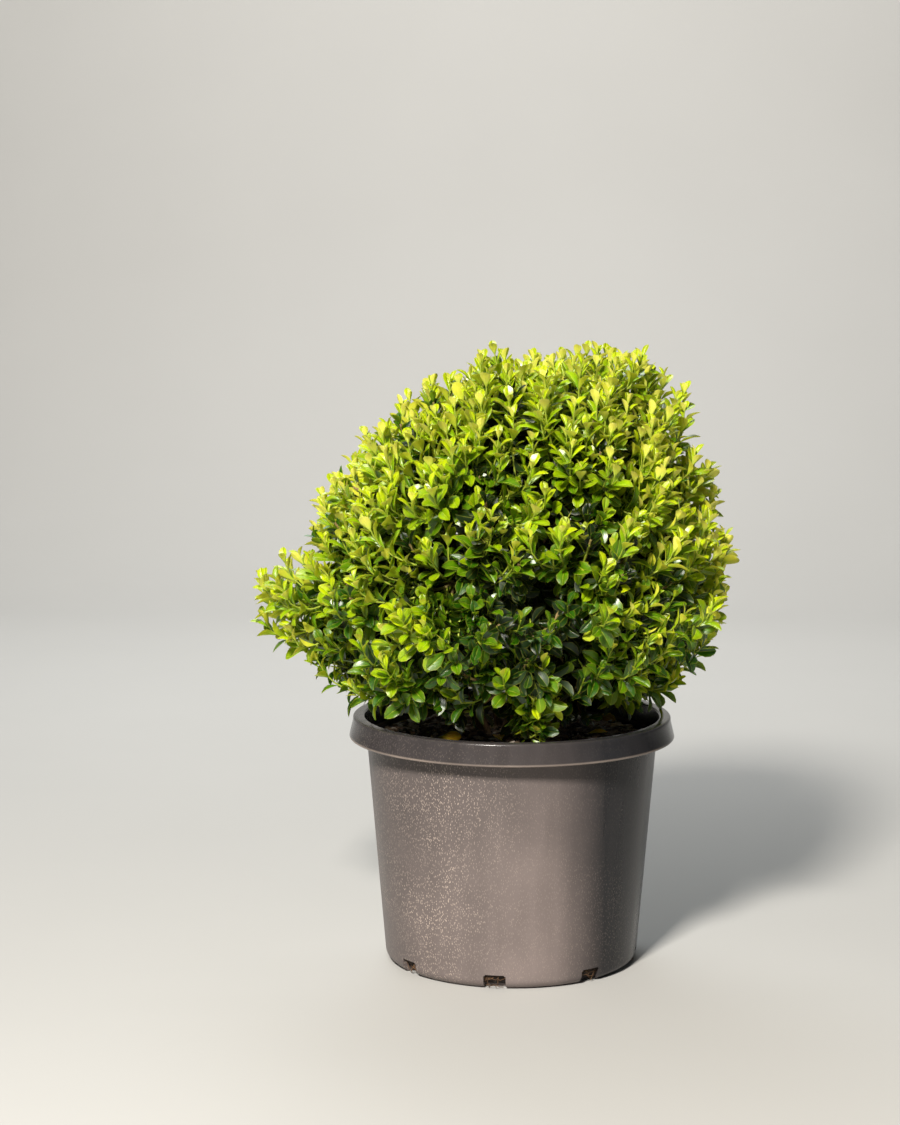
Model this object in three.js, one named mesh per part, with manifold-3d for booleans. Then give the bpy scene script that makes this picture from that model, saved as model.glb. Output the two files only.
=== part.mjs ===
// A dense young shrub with small glossy leaves, growing in a squat black nursery pot.
// Millimetres, +Z up, front towards -Y. The origin is the middle of the pot's flat underside.
import * as THREE from "three";
import { mergeVertices } from "three/addons/utils/BufferGeometryUtils.js";
import Module from "manifold-3d";

const wasm = await Module();
wasm.setup();

// Pot: a tapered tub with an overhanging rim and drainage slots round its foot.
const POT = {
  height: 228,
  rimRadius: 150,
  rimBand: 20,
  lipRadius: 145.5,
  shoulderRadius: 134,
  footRadius: 117,
  footCorner: 9,
  wall: 2.4,
  floor: 3,
  bevel: 2.7,
  rimTop: 3.8,
  rimRound: 3,
  slots: 8,
  slotWidth: 20,
  slotHeight: 13,
  slotTurn: -7.2,
  segments: 40,
};

// Potting mix: fills the pot to a little under its rim, flat where the stems stand.
const MIX = { edgeLevel: 206, flatLevel: 211, flatRadius: 46 };

// Gap left between pieces that touch, and how far a flat face may move when it is made simpler.
const GAP = 0.3;
const SMOOTHING = 0.03;

// Trunk: one short leader up the middle of the crown, flared at its foot.
const TRUNK = {
  flareRadius: 13,
  footRadius: 8.5,
  tipRadius: 3.6,
  tip: new THREE.Vector3(14, 3, 440),
  flare: 6,
  upright: 14,
  sway: 5,
  sides: 8,
  rings: 7,
};

// Limbs: boughs fork from the trunk, and basal stems rise from the mix around it.
const BOUGH = { rootRadius: 3.6, tipRadius: 2.2, sides: 5, rings: 5, rise: 0.55 };
const BASAL = { rootRadius: 3.2, tipRadius: 2.0, sides: 5, rings: 5, spread: 27 };
const BASAL_BEND = { rise: 34, towards: 0.16 };
const CURVE_STEPS = 200;

// Crown outline: height above the ground against radius from the crown's own middle line.
const OUTLINE = [
  [226, 108],
  [242, 138],
  [264, 164],
  [300, 190],
  [345, 208],
  [408, 200],
  [450, 182],
  [489, 156],
  [522, 132],
  [552, 100],
  [564, 40],
];
// The crown leans a little to the right as it rises. One low spray reaches out to the left, and
// the foot of the crown is hollow at the front right.
const LEAN = { from: 420, to: 564, shift: 26 };
const SPRAY = { azimuth: 180, width: 26, height: 336, depth: 46, reach: 36 };
const HOLLOW = { azimuth: 322, width: 24, height: 236, depth: 40, reach: -34 };

// Masses of foliage, in tiers from the foot up. Azimuth 0 is +X and 90 is +Y.
const TIERS = [
  { name: "lower", count: 7, radius: 98, height: 284, turn: 270, limb: "basal" },
  { name: "middle", count: 7, radius: 128, height: 364, turn: 296, limb: "bough", fork: 268 },
  { name: "upper", count: 6, radius: 93, height: 445, turn: 248, limb: "bough", fork: 338 },
  { name: "top", count: 1, radius: 12, height: 488, turn: 20, limb: "trunk" },
];
const FORK_STEP = 17;
const STRAY = { azimuth: 5, radius: 4, height: 7 };

// Twigs and leaves of the masses.
const TWIG = { radius: 2.4, tipRadius: 1.7, sides: 3, rings: 2 };
const LEAF = { length: 45, width: 0.62, widest: 0.6, thick: 1.8, curl: 0.12, sunk: 0.4 };
const LEAF_OPEN = { first: 34, step: 13, stray: 10 };
const LEAF_GROWN = { first: 0.86, step: 0.07, stray: 0.14 };
const SHOOTS = {
  count: 142,
  inset: 33,
  spacing: 19,
  end: 5,
  pairs: 3,
  jitter: 0.5,
  bare: 46,
  leafless: 0.25,
};
const REACH = { low: 1.1, high: 0.55, middle: 20, rim: 170 };
const CLIMB = { from: 225, to: 290, low: 0.5, upper: 240, top: 500, high: 0.6 };
const SKIRT = { count: 15, radius: 100, spread: 30, height: 234, rise: 14 };
const LEAF_TURNS = [0, 25, -25, 50, -50];
const LEAF_SIZES = [1, 0.8];
const SPACE = { margin: 0.6, limbGap: 0.8, overOutline: 6, below: 24, aboveRim: 3, aboveMix: 3 };

// The fused core of each mass: a cushion that lies well inside the crown's outline.
const CORE = {
  inset: 56,
  lumps: 8,
  valley: 18,
  slope: 45,
  depth: 24,
  seam: 0.6,
  around: 20,
  levels: 9,
  overRim: 14,
  level: 300,
  aim: 0.5,
};

// What the repeatable random numbers of each step start from.
const SEEDS = { core: 5, middles: 3, shoots: 11, leaves: 100 };

const UP = new THREE.Vector3(0, 0, 1);
const GOLDEN_ANGLE = Math.PI * (3 - Math.sqrt(5));

// A repeatable stream of numbers from 0 to 1.
function seeded(seed) {
  let state = seed;
  return () => {
    state = (state + 0x6d2b79f5) | 0;
    let t = Math.imul(state ^ (state >>> 15), 1 | state);
    t = (t + Math.imul(t ^ (t >>> 7), 61 | t)) ^ t;
    return ((t ^ (t >>> 14)) >>> 0) / 4294967296;
  };
}

// The point at an azimuth in degrees, a radius and a height.
function polar(azimuth, radius, height) {
  const angle = THREE.MathUtils.degToRad(azimuth);
  return new THREE.Vector3(radius * Math.cos(angle), radius * Math.sin(angle), height);
}

// A closed geometry as an exact solid, turned outwards whichever way it was wound.
function solidOf(geometry) {
  const bare = geometry.clone();
  bare.deleteAttribute("normal");
  bare.deleteAttribute("uv");
  const merged = mergeVertices(bare, 1e-4);
  const corners = [];
  for (let i = 0; i < merged.index.count; i += 3) {
    const [a, b, c] = [0, 1, 2].map((k) => merged.index.getX(i + k));
    if (a !== b && b !== c && c !== a) corners.push(a, b, c);
  }
  const make = (list) =>
    new wasm.Manifold(
      new wasm.Mesh({
        numProp: 3,
        vertProperties: new Float32Array(merged.attributes.position.array),
        triVerts: new Uint32Array(list),
      }),
    );
  const made = make(corners);
  return made.volume() > 0 ? made : make([...corners].reverse());
}

// The largest body of a solid: leaves out loose scraps and fills sealed hollows.
function wholeBody(solid) {
  const bodies = solid.asOriginal().simplify(SMOOTHING).decompose();
  return bodies.reduce((best, body) => (body.volume() > best.volume() ? body : best));
}

// A solid as a named mesh.
function meshOf(name, solid, material) {
  const { vertProperties, numProp, triVerts } = solid.getMesh();
  const corners = new Float32Array((vertProperties.length / numProp) * 3);
  for (let i = 0; i < corners.length / 3; i++)
    corners.set(vertProperties.subarray(i * numProp, i * numProp + 3), i * 3);
  const geometry = new THREE.BufferGeometry();
  geometry.setAttribute("position", new THREE.BufferAttribute(corners, 3));
  geometry.setIndex(new THREE.BufferAttribute(new Uint32Array(triVerts), 1));
  geometry.computeVertexNormals();
  const mesh = new THREE.Mesh(geometry, material);
  mesh.name = name;
  return mesh;
}

// A solid of revolution about +Z from [radius, height] pairs that start and end on the axis.
function turned(profile) {
  const points = profile.map(([radius, height]) => new THREE.Vector2(radius, height));
  return solidOf(new THREE.LatheGeometry(points, POT.segments).rotateX(Math.PI / 2));
}

// A tapering limb along a path, cut flat across each end.
function limb(path, radii, sides) {
  const positions = [];
  const index = [];
  let across = new THREE.Vector3(1, 0, 0);
  path.forEach((point, i) => {
    const ahead = path[Math.min(i + 1, path.length - 1)];
    const along = ahead.clone().sub(path[Math.max(i - 1, 0)]).normalize();
    across = across.addScaledVector(along, -across.dot(along)).normalize();
    const other = along.clone().cross(across);
    for (let k = 0; k < sides; k++) {
      const turn = (2 * Math.PI * k) / sides;
      const corner = point
        .clone()
        .addScaledVector(across, radii[i] * Math.cos(turn))
        .addScaledVector(other, radii[i] * Math.sin(turn));
      positions.push(corner.x, corner.y, corner.z);
    }
  });
  for (let i = 0; i < path.length - 1; i++)
    for (let k = 0; k < sides; k++) {
      const a = i * sides + k;
      const b = i * sides + ((k + 1) % sides);
      index.push(a, b, b + sides, a, b + sides, a + sides);
    }
  const last = (path.length - 1) * sides;
  for (let k = 1; k < sides - 1; k++) {
    index.push(0, k + 1, k);
    index.push(last, last + k, last + k + 1);
  }
  const geometry = new THREE.BufferGeometry();
  geometry.setAttribute("position", new THREE.Float32BufferAttribute(positions, 3));
  geometry.setIndex(index);
  return geometry;
}

// Evenly spread values from one number to another.
function ramp(from, to, count) {
  return Array.from({ length: count }, (_, i) => from + ((to - from) * i) / (count - 1));
}

// The radius of the pot's outer wall at a height.
function wallRadius(height) {
  const { footCorner, height: top, rimBand, footRadius, shoulderRadius } = POT;
  return THREE.MathUtils.mapLinear(height, footCorner, top - rimBand, footRadius, shoulderRadius);
}

// The pot: a tub whose rim folds out and down, less the slots round its foot.
function potSolid() {
  const { height, rimRadius, rimBand, rimTop, rimRound, lipRadius, bevel } = POT;
  const { footRadius, footCorner, wall, floor } = POT;
  const ledge = height - rimBand;
  const innerFoot = footRadius - footCorner;
  const inner = (level) => [wallRadius(level) - wall, level];
  const shell = turned([
    [0, 0],
    [innerFoot, 0],
    [footRadius - bevel, bevel],
    [footRadius, footCorner],
    [wallRadius(ledge), ledge],
    [wallRadius(height - rimTop), height - rimTop],
    [lipRadius - rimTop, height - rimTop],
    [rimRadius - wall, ledge],
    [rimRadius, ledge],
    [lipRadius + bevel / 2, height - rimRound],
    [lipRadius - bevel, height],
    [wallRadius(height) + 1, height],
    inner(height - rimRound),
    inner(footCorner + wall),
    [innerFoot, floor],
    [0, floor],
  ]);
  const deep = footCorner * 2;
  return Array.from({ length: POT.slots }).reduce((pot, _, i) => {
    const cutter = new THREE.BoxGeometry(POT.slotWidth, deep, 2 * POT.slotHeight);
    const turn = THREE.MathUtils.degToRad(POT.slotTurn + (360 * i) / POT.slots);
    cutter.translate(0, -(footRadius - deep * 0.2), 0).rotateZ(turn);
    return pot.subtract(solidOf(cutter));
  }, shell);
}

// The potting mix that fills the pot, just clear of its wall and floor.
function mixSolid() {
  const { footRadius, footCorner, wall, floor } = POT;
  const inner = (level) => wallRadius(level) - wall - GAP;
  return turned([
    [0, floor + GAP],
    [footRadius - footCorner - GAP, floor + GAP],
    [inner(footCorner + wall), footCorner + wall + GAP],
    [inner(MIX.edgeLevel), MIX.edgeLevel],
    [MIX.flatRadius, MIX.flatLevel],
    [0, MIX.flatLevel],
  ]);
}

// The trunk's centreline: it starts upright, then sways gently up to its tip.
function trunkCurve() {
  const foot = new THREE.Vector3(0, 0, MIX.flatLevel + GAP);
  const middle = foot.clone().lerp(TRUNK.tip, 0.5);
  middle.x -= TRUNK.sway;
  middle.y += TRUNK.sway;
  return new THREE.CatmullRomCurve3([
    foot,
    foot.clone().addScaledVector(UP, TRUNK.upright),
    middle,
    TRUNK.tip,
  ]);
}

// The trunk's path and radii, with an extra thickness all round for cutting clearances.
function trunkGeometry(extra = 0) {
  const path = trunkCurve().getPoints(TRUNK.rings);
  path.splice(1, 0, path[0].clone().addScaledVector(UP, TRUNK.flare));
  const radii = ramp(TRUNK.footRadius, TRUNK.tipRadius, path.length);
  radii[0] = TRUNK.flareRadius;
  return limb(path, radii.map((radius) => radius + extra), TRUNK.sides);
}

// The way the trunk points at its tip, square to its flat end.
function trunkEnd() {
  const path = trunkCurve().getPoints(TRUNK.rings);
  return path.at(-1).clone().sub(path.at(-2)).normalize();
}

// The point of the trunk's centreline at a height.
function trunkAt(height) {
  const points = trunkCurve().getPoints(CURVE_STEPS);
  return points.reduce((best, point) =>
    Math.abs(point.z - height) < Math.abs(best.z - height) ? point : best,
  );
}

// How far the crown's middle line has shifted to the right at a height.
function lean(height) {
  return LEAN.shift * THREE.MathUtils.smoothstep(height, LEAN.from, LEAN.to);
}

// The crown's radius at a height and azimuth.
function crownRadius(height, azimuth) {
  const above = OUTLINE.findIndex(([level]) => level >= height);
  if (above <= 0) return above === 0 ? OUTLINE[0][1] : 0;
  const [low, high] = [OUTLINE[above - 1], OUTLINE[above]];
  const radius = THREE.MathUtils.mapLinear(height, low[0], high[0], low[1], high[1]);
  return radius + swelling(SPRAY, height, azimuth) + swelling(HOLLOW, height, azimuth);
}

// How far one bump or hollow of the outline moves it at a height and azimuth.
function swelling(bump, height, azimuth) {
  const off = THREE.MathUtils.euclideanModulo(azimuth - bump.azimuth + 180, 360) - 180;
  const level = (height - bump.height) / bump.depth;
  return bump.reach * Math.exp(-((off / bump.width) ** 2) - level ** 2);
}

// How far in from the crown's outline a point is.
function depthOf(point) {
  const [x, y] = [point.x - lean(point.z), point.y];
  const azimuth = THREE.MathUtils.radToDeg(Math.atan2(y, x));
  const height = THREE.MathUtils.clamp(point.z, OUTLINE[0][0], OUTLINE.at(-1)[0]);
  const across = crownRadius(height, azimuth) - Math.hypot(x, y);
  return Math.min(across, OUTLINE.at(-1)[0] - point.z);
}

// Whether a point is inside the crown's outline.
function insideOutline(point) {
  const [x, y] = [point.x - lean(point.z), point.y];
  const azimuth = THREE.MathUtils.radToDeg(Math.atan2(y, x));
  const low = OUTLINE[0][0] - SPACE.below;
  const high = OUTLINE.at(-1)[0] + SPACE.overOutline;
  if (point.z < low || point.z > high) return false;
  const height = THREE.MathUtils.clamp(point.z, OUTLINE[0][0], OUTLINE.at(-1)[0]);
  return Math.hypot(x, y) < crownRadius(height, azimuth) + SPACE.overOutline;
}

// Whether a set of points stays clear of the pot and the mix.
function clearsPot(points) {
  const overRim = points.every((point) => point.z > POT.height + SPACE.aboveRim);
  const insideRim = points.every(
    (point) =>
      point.z > MIX.flatLevel + SPACE.aboveMix &&
      Math.hypot(point.x, point.y) < POT.shoulderRadius - 2 * POT.wall,
  );
  return overRim || insideRim;
}

// The inside of the crown, further in than its outline and deeper yet between two masses.
function crownCore(sites) {
  const random = seeded(SEEDS.core);
  const low = POT.height + CORE.overRim;
  const high = OUTLINE.at(-1)[0] - CORE.inset;
  const levels = ramp(low, high, CORE.levels);
  const geometry = new THREE.CylinderGeometry(1, 1, 1, CORE.around, levels.length - 1);
  geometry.deleteAttribute("normal");
  geometry.deleteAttribute("uv");
  const round = mergeVertices(geometry.rotateX(Math.PI / 2));
  const corners = round.attributes.position;
  for (let i = 0; i < corners.count; i++) {
    const level = Math.round((corners.getZ(i) + 0.5) * (levels.length - 1));
    const share = Math.hypot(corners.getX(i), corners.getY(i));
    const azimuth = THREE.MathUtils.radToDeg(Math.atan2(corners.getY(i), corners.getX(i)));
    const shell = crownRadius(levels[level], azimuth) - CORE.inset - CORE.lumps * random();
    const corner = polar(azimuth, share * shell, levels[level]);
    corner.x += lean(corner.z);
    const [near, next] = sites.map((site) => corner.distanceTo(site.middle)).sort((a, b) => a - b);
    const valley = CORE.valley * (1 - THREE.MathUtils.smoothstep(next - near, 0, CORE.slope));
    corner.lerp(new THREE.Vector3(lean(corner.z), 0, corner.z), valley / (shell + 1));
    corners.setXYZ(i, corner.x, corner.y, corner.z);
  }
  return solidOf(round);
}

// The middle of each mass, with its name and the limb that carries it.
function massSites() {
  const random = seeded(SEEDS.middles);
  const stray = (most) => most * (2 * random() - 1);
  return TIERS.flatMap((tier) =>
    Array.from({ length: tier.count }, (_, i) => {
      const azimuth = tier.turn + (360 * i) / tier.count + stray(STRAY.azimuth);
      const height = tier.height + stray(STRAY.height);
      const middle = polar(azimuth, tier.radius + stray(STRAY.radius), height);
      middle.x += lean(tier.height);
      const shelf = i === tier.count - 1 && tier.count % 3 === 1 ? 1 : i % 3;
      const label = tier.count > 1 ? `${tier.name}_${i + 1}` : tier.name;
      const outward = polar(azimuth, tier.radius, CORE.aim * (tier.height - CORE.level));
      outward.normalize();
      const fork = (tier.fork ?? 0) + FORK_STEP * shelf;
      return { label, azimuth, middle, outward, tier, fork };
    }),
  );
}

// The centreline of the limb that carries a mass, running on to the mass's middle.
function limbCurve(site) {
  if (site.tier.limb === "trunk") {
    const half = TRUNK.tip.distanceTo(site.middle) / 2;
    const onward = TRUNK.tip.clone().addScaledVector(trunkEnd(), half);
    return new THREE.QuadraticBezierCurve3(TRUNK.tip.clone(), onward, site.middle);
  }
  if (site.tier.limb === "basal") {
    const root = polar(site.azimuth, BASAL.spread, MIX.flatLevel + GAP);
    const bend = root.clone().addScaledVector(UP, BASAL_BEND.rise);
    bend.lerp(site.middle, BASAL_BEND.towards);
    return new THREE.QuadraticBezierCurve3(root, bend, site.middle);
  }
  const root = trunkAt(site.fork);
  const out = site.middle.clone().sub(root);
  const bend = root.clone().addScaledVector(out, 0.5);
  bend.z = THREE.MathUtils.lerp(root.z, site.middle.z, BOUGH.rise);
  return new THREE.QuadraticBezierCurve3(root, bend, site.middle);
}

// How far along its outward direction a mass's core begins.
function innerFace(site) {
  return site.outward.dot(site.middle) - CORE.depth;
}

// The length of a limb's curve up to the inner face of the core it carries.
function reachOf(site, curve) {
  const points = curve.getSpacedPoints(CURVE_STEPS);
  const face = innerFace(site) - CORE.seam;
  const crossing = points.findIndex((point) => site.outward.dot(point) > face);
  return (curve.getLength() * Math.max(crossing, 1)) / CURVE_STEPS;
}

// Points along a curve between two distances from its start.
function stretch(curve, from, to, count) {
  const length = curve.getLength();
  return ramp(from / length, to / length, count).map((share) => curve.getPointAt(share));
}

// Where the crown's shoots end: spread evenly over the outline by the golden angle.
function shootTips() {
  const random = seeded(SEEDS.shoots);
  const bands = OUTLINE.slice(1).map(([high, upper], i) => {
    const [low, lower] = OUTLINE[i];
    return { low, high, area: (upper + lower) * Math.hypot(high - low, upper - lower) };
  });
  const whole = bands.reduce((sum, band) => sum + band.area, 0);
  const skirt = Array.from({ length: SKIRT.count }, (_, i) => {
    const azimuth = (360 * (i + random() * SHOOTS.jitter)) / SKIRT.count;
    const radius = SKIRT.radius + SKIRT.spread * random() + swelling(HOLLOW, SKIRT.height, azimuth);
    return polar(azimuth, radius, SKIRT.height + SKIRT.rise * random());
  });
  const spread = Array.from({ length: SHOOTS.count }, (_, i) => {
    let left = (whole * (i + 0.5)) / SHOOTS.count;
    const band = bands.find((one) => (left -= one.area) <= 0) ?? bands.at(-1);
    const height = band.high + (left / band.area) * (band.high - band.low);
    const drift = SHOOTS.jitter * (random() - 0.5);
    const azimuth = THREE.MathUtils.radToDeg(i * GOLDEN_ANGLE + drift);
    const inset = SHOOTS.inset * (1 + SHOOTS.jitter * (random() - 0.4));
    const radius = Math.max(crownRadius(height, azimuth) - inset, 4);
    const tip = polar(azimuth, radius, Math.min(height, OUTLINE.at(-1)[0] - inset));
    tip.x += lean(height);
    return tip;
  });
  const { azimuth, height } = SPRAY;
  const reach = crownRadius(height, azimuth) - SHOOTS.inset;
  return [...spread, ...skirt, polar(azimuth, reach, height)];
}

// The way a shoot points at its tip: outwards low in the crown, and upright at its top.
function shootDirection(tip) {
  const out = new THREE.Vector3(tip.x - lean(tip.z), tip.y, 0);
  const spread = THREE.MathUtils.smoothstep(out.length(), REACH.middle, REACH.rim);
  const high = THREE.MathUtils.smoothstep(tip.z, CLIMB.upper, CLIMB.top);
  const low = THREE.MathUtils.smoothstep(tip.z, CLIMB.from, CLIMB.to);
  out.normalize().multiplyScalar(spread * THREE.MathUtils.lerp(REACH.low, REACH.high, high));
  return out.addScaledVector(UP, CLIMB.low * low + CLIMB.high * high).normalize();
}

// The five corners of a leaf: its four outline corners, then the keel beneath.
function leafCorners(root, along, face, length) {
  const side = face.clone().cross(along).normalize();
  const place = (forward, sideways, up) =>
    root
      .clone()
      .addScaledVector(along, forward * length)
      .addScaledVector(side, sideways * length)
      .addScaledVector(face, up * length);
  const half = LEAF.width / 2;
  return [
    place(0, 0, 0),
    place(LEAF.widest, half, 0),
    place(1, 0, -LEAF.curl),
    place(LEAF.widest, -half, 0),
    place(LEAF.widest, 0, -LEAF.thick / length),
  ];
}

// A leaf of six faces from its five corners, bent down across its widest part.
function leafSolid(corners) {
  const geometry = new THREE.BufferGeometry().setFromPoints(corners);
  geometry.setIndex([0, 1, 3, 1, 2, 3, 0, 4, 1, 1, 4, 2, 2, 4, 3, 3, 4, 0]);
  return solidOf(geometry);
}

// A value that grows from the youngest pair of leaves down to the oldest.
function agedBy(growth, pair, random) {
  return growth.first + growth.step * pair + growth.stray * random();
}

// A leaf at a place on a twig, turned or shrunk until it fits, or nothing.
function growLeaf({ at, along, turn, open, long }, fits, grown) {
  for (const size of LEAF_SIZES)
    for (const extra of LEAF_TURNS) {
      const out = new THREE.Vector3(1, 0, 0).cross(along).normalize();
      out.applyAxisAngle(along, turn + THREE.MathUtils.degToRad(extra));
      const leafAlong = along.clone().multiplyScalar(Math.cos(open));
      leafAlong.addScaledVector(out, Math.sin(open));
      const face = along.clone().multiplyScalar(Math.sin(open));
      face.addScaledVector(out, -Math.cos(open));
      const root = at.clone().addScaledVector(leafAlong, -LEAF.sunk);
      const corners = leafCorners(root, leafAlong, face, long * size);
      const middle = corners[1].clone().lerp(corners[3], 0.5);
      if (depthOf(middle) > SHOOTS.bare) continue;
      const leaf = leafSolid(corners);
      if (!fits(corners.slice(1), leaf)) continue;
      const blade = [corners[0].clone().lerp(corners[2], 0.2), ...corners.slice(1)];
      if (leafSolid(blade).intersect(grown).volume() > 0) continue;
      return leaf;
    }
  return null;
}

// One mass: a stem from its limb, a core, and shoots set with crossed pairs of leaves.
function massSolid(site, sites, tips, limbs, inside, random) {
  const others = sites.filter((other) => other !== site);
  const inSpace = (point) =>
    insideOutline(point) &&
    others.every((other) => {
      const apart = other.middle.distanceTo(site.middle);
      const nearer = point.distanceToSquared(other.middle) - point.distanceToSquared(site.middle);
      return nearer / (2 * apart) > SPACE.margin;
    });
  const fits = (points, solid) =>
    points.every(inSpace) && clearsPot(points) && solid.intersect(limbs).volume() === 0;

  const curve = limbCurve(site);
  const stemPath = stretch(curve, site.reach + GAP, curve.getLength(), 3);
  stemPath.splice(1, 0, curve.getPointAt((site.reach + 2) / curve.getLength()));
  const stemRadii = ramp(site.tipRadius, TWIG.radius, 4);
  const pieces = [solidOf(limb(stemPath, stemRadii, TWIG.sides))];

  let core = inside.trimByPlane(site.outward.toArray(), innerFace(site));
  for (const other of others) {
    const towards = site.middle.clone().sub(other.middle).normalize();
    const halfway = site.middle.clone().add(other.middle).multiplyScalar(0.5);
    core = core.trimByPlane(towards.toArray(), towards.dot(halfway) + CORE.seam);
  }
  core = core.subtract(limbs);
  pieces.push(core);

  let grown = core;
  for (const tip of tips) {
    const direction = shootDirection(tip);
    const bend = tip.clone().addScaledVector(direction, -0.5 * tip.distanceTo(site.middle));
    const shoot = new THREE.QuadraticBezierCurve3(site.middle, bend, tip);
    const path = shoot.getPoints(TWIG.rings);
    const twig = solidOf(limb(path, ramp(TWIG.radius, TWIG.tipRadius, path.length), TWIG.sides));
    if (!fits(path.slice(1), twig)) continue;
    const leaves = [];
    const axis = new THREE.CurvePath();
    path.slice(1).forEach((point, k) => axis.add(new THREE.LineCurve3(path[k], point)));
    const length = axis.getLength();
    const start = random() * Math.PI;
    for (let pair = 0; pair < SHOOTS.pairs; pair++) {
      const from = length - SHOOTS.end - pair * SHOOTS.spacing;
      if (from < length * SHOOTS.leafless) break;
      const at = axis.getPointAt(from / length);
      const along = axis.getTangentAt(from / length);
      for (const half of [0, Math.PI]) {
        const turn = start + (pair * Math.PI) / 2 + half;
        const open = THREE.MathUtils.degToRad(agedBy(LEAF_OPEN, pair, random));
        const long = LEAF.length * agedBy(LEAF_GROWN, pair, random);
        const leaf = growLeaf({ at, along, turn, open, long }, fits, grown);
        if (!leaf) continue;
        leaves.push(leaf);
        grown = grown.add(leaf);
      }
    }
    if (leaves.length > 0) pieces.push(twig, ...leaves);
  }
  return wholeBody(wasm.Manifold.union(pieces));
}

const MATERIALS = {
  pot: new THREE.MeshStandardMaterial({ color: 0x2b2827, roughness: 0.5, metalness: 0 }),
  mix: new THREE.MeshStandardMaterial({ color: 0x2a1f18, roughness: 0.95, metalness: 0 }),
  bark: new THREE.MeshStandardMaterial({ color: 0x6b5138, roughness: 0.85, metalness: 0 }),
  leaf: new THREE.MeshStandardMaterial({ color: 0x6f8f22, roughness: 0.4, metalness: 0 }),
};

const shrub = new THREE.Group();
shrub.add(meshOf("pot", potSolid(), MATERIALS.pot));
shrub.add(meshOf("potting_mix", mixSolid(), MATERIALS.mix));
shrub.add(meshOf("trunk", solidOf(trunkGeometry()), MATERIALS.bark));

const sites = massSites();
const clearedTrunk = solidOf(trunkGeometry(GAP));
const limbSolids = [clearedTrunk];
for (const site of sites) {
  const curve = limbCurve(site);
  if (site.tier.limb === "trunk") {
    site.reach = 0;
    site.tipRadius = TRUNK.tipRadius;
    continue;
  }
  const kind = site.tier.limb === "basal" ? BASAL : BOUGH;
  site.reach = reachOf(site, curve);
  site.tipRadius = kind.tipRadius;
  const path = stretch(curve, 0, site.reach, kind.rings);
  if (kind === BASAL) path[1].set(path[0].x, path[0].y, path[1].z);
  const radii = ramp(kind.rootRadius, kind.tipRadius, kind.rings);
  const whole = solidOf(limb(path, radii, kind.sides));
  const solid = kind === BOUGH ? wholeBody(whole.subtract(clearedTrunk)) : whole;
  const name = kind === BASAL ? `basal_stem_${site.label}` : `bough_${site.label}`;
  shrub.add(meshOf(name, solid, MATERIALS.bark));
  const grown = radii.map((radius) => radius + SPACE.limbGap);
  limbSolids.push(solidOf(limb(path, grown, kind.sides)));
}
const limbs = wasm.Manifold.union(limbSolids);
const inside = crownCore(sites);

const tipsOf = new Map(sites.map((site) => [site, []]));
for (const tip of shootTips()) {
  const nearest = sites.reduce((best, site) =>
    tip.distanceTo(site.middle) < tip.distanceTo(best.middle) ? site : best,
  );
  tipsOf.get(nearest).push(tip);
}
sites.forEach((site, i) => {
  const solid = massSolid(site, sites, tipsOf.get(site), limbs, inside, seeded(SEEDS.leaves + i));
  shrub.add(meshOf(`foliage_${site.label}`, solid, MATERIALS.leaf));
});

export default shrub;
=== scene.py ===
"""A dense young euonymus with small glossy leaves in a squat black nursery pot, for a studio picture.

Metres, +Z up, front towards -Y. The shrub follows the same rule as the solids do, with finer shoots and
leaves of life size: trunk, boughs and basal stems, branchlets in each mass, shoots along the branchlets,
and crossed pairs of leaves along the shoots.
"""

import math
from collections import namedtuple
from types import SimpleNamespace as Sizes

import bmesh
import bpy
import numpy as np
from mathutils import Matrix, Vector, noise


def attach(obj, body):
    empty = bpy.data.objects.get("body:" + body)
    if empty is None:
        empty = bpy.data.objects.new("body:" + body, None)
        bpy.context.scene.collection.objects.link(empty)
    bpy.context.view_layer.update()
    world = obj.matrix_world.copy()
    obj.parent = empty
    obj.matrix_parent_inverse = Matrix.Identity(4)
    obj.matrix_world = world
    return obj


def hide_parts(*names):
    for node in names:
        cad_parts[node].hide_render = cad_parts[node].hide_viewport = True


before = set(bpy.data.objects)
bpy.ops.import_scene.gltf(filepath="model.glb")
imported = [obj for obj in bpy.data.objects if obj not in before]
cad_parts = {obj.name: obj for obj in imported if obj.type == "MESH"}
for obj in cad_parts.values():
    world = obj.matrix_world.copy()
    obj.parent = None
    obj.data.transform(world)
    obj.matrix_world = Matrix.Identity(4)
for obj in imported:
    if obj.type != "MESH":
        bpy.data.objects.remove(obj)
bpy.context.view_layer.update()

# Pot, as in the solids: a tapered tub whose rim folds out and down.
POT = Sizes(
    height=0.228, wall=0.0024, floor=0.003, foot_radius=0.117, foot_corner=0.009, shoulder_radius=0.134,
    rim_radius=0.150, rim_band=0.020, rim_top=0.0038, lip_radius=0.1455, segments=192,
    slots=8, slot_width=0.020, slot_height=0.013, slot_turn=-7.2,
)
LEDGE = POT.height - POT.rim_band
INNER_FOOT = POT.foot_radius - POT.foot_corner
MIX = Sizes(edge=0.206, flat=0.211, flat_radius=0.046)
GAP = 0.0003

# Trunk, boughs that fork from it, and basal stems that rise round it.
TRUNK = Sizes(
    flare_radius=0.013, foot_radius=0.0085, tip_radius=0.0036, upright=0.014, sway=0.005, flare=0.003, rings=8
)
TRUNK_TIP = np.array([0.014, 0.003, 0.440])
BOUGH = Sizes(root_radius=0.0036, tip_radius=0.0022, rise=0.55)
BASAL = Sizes(root_radius=0.0032, tip_radius=0.0020, spread=0.027, rise=0.034, towards=0.16)
TWIG = Sizes(root_radius=0.0020, tip_radius=0.0011)
SHOOT = Sizes(root_radius=0.0011, tip_radius=0.0006)

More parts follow.
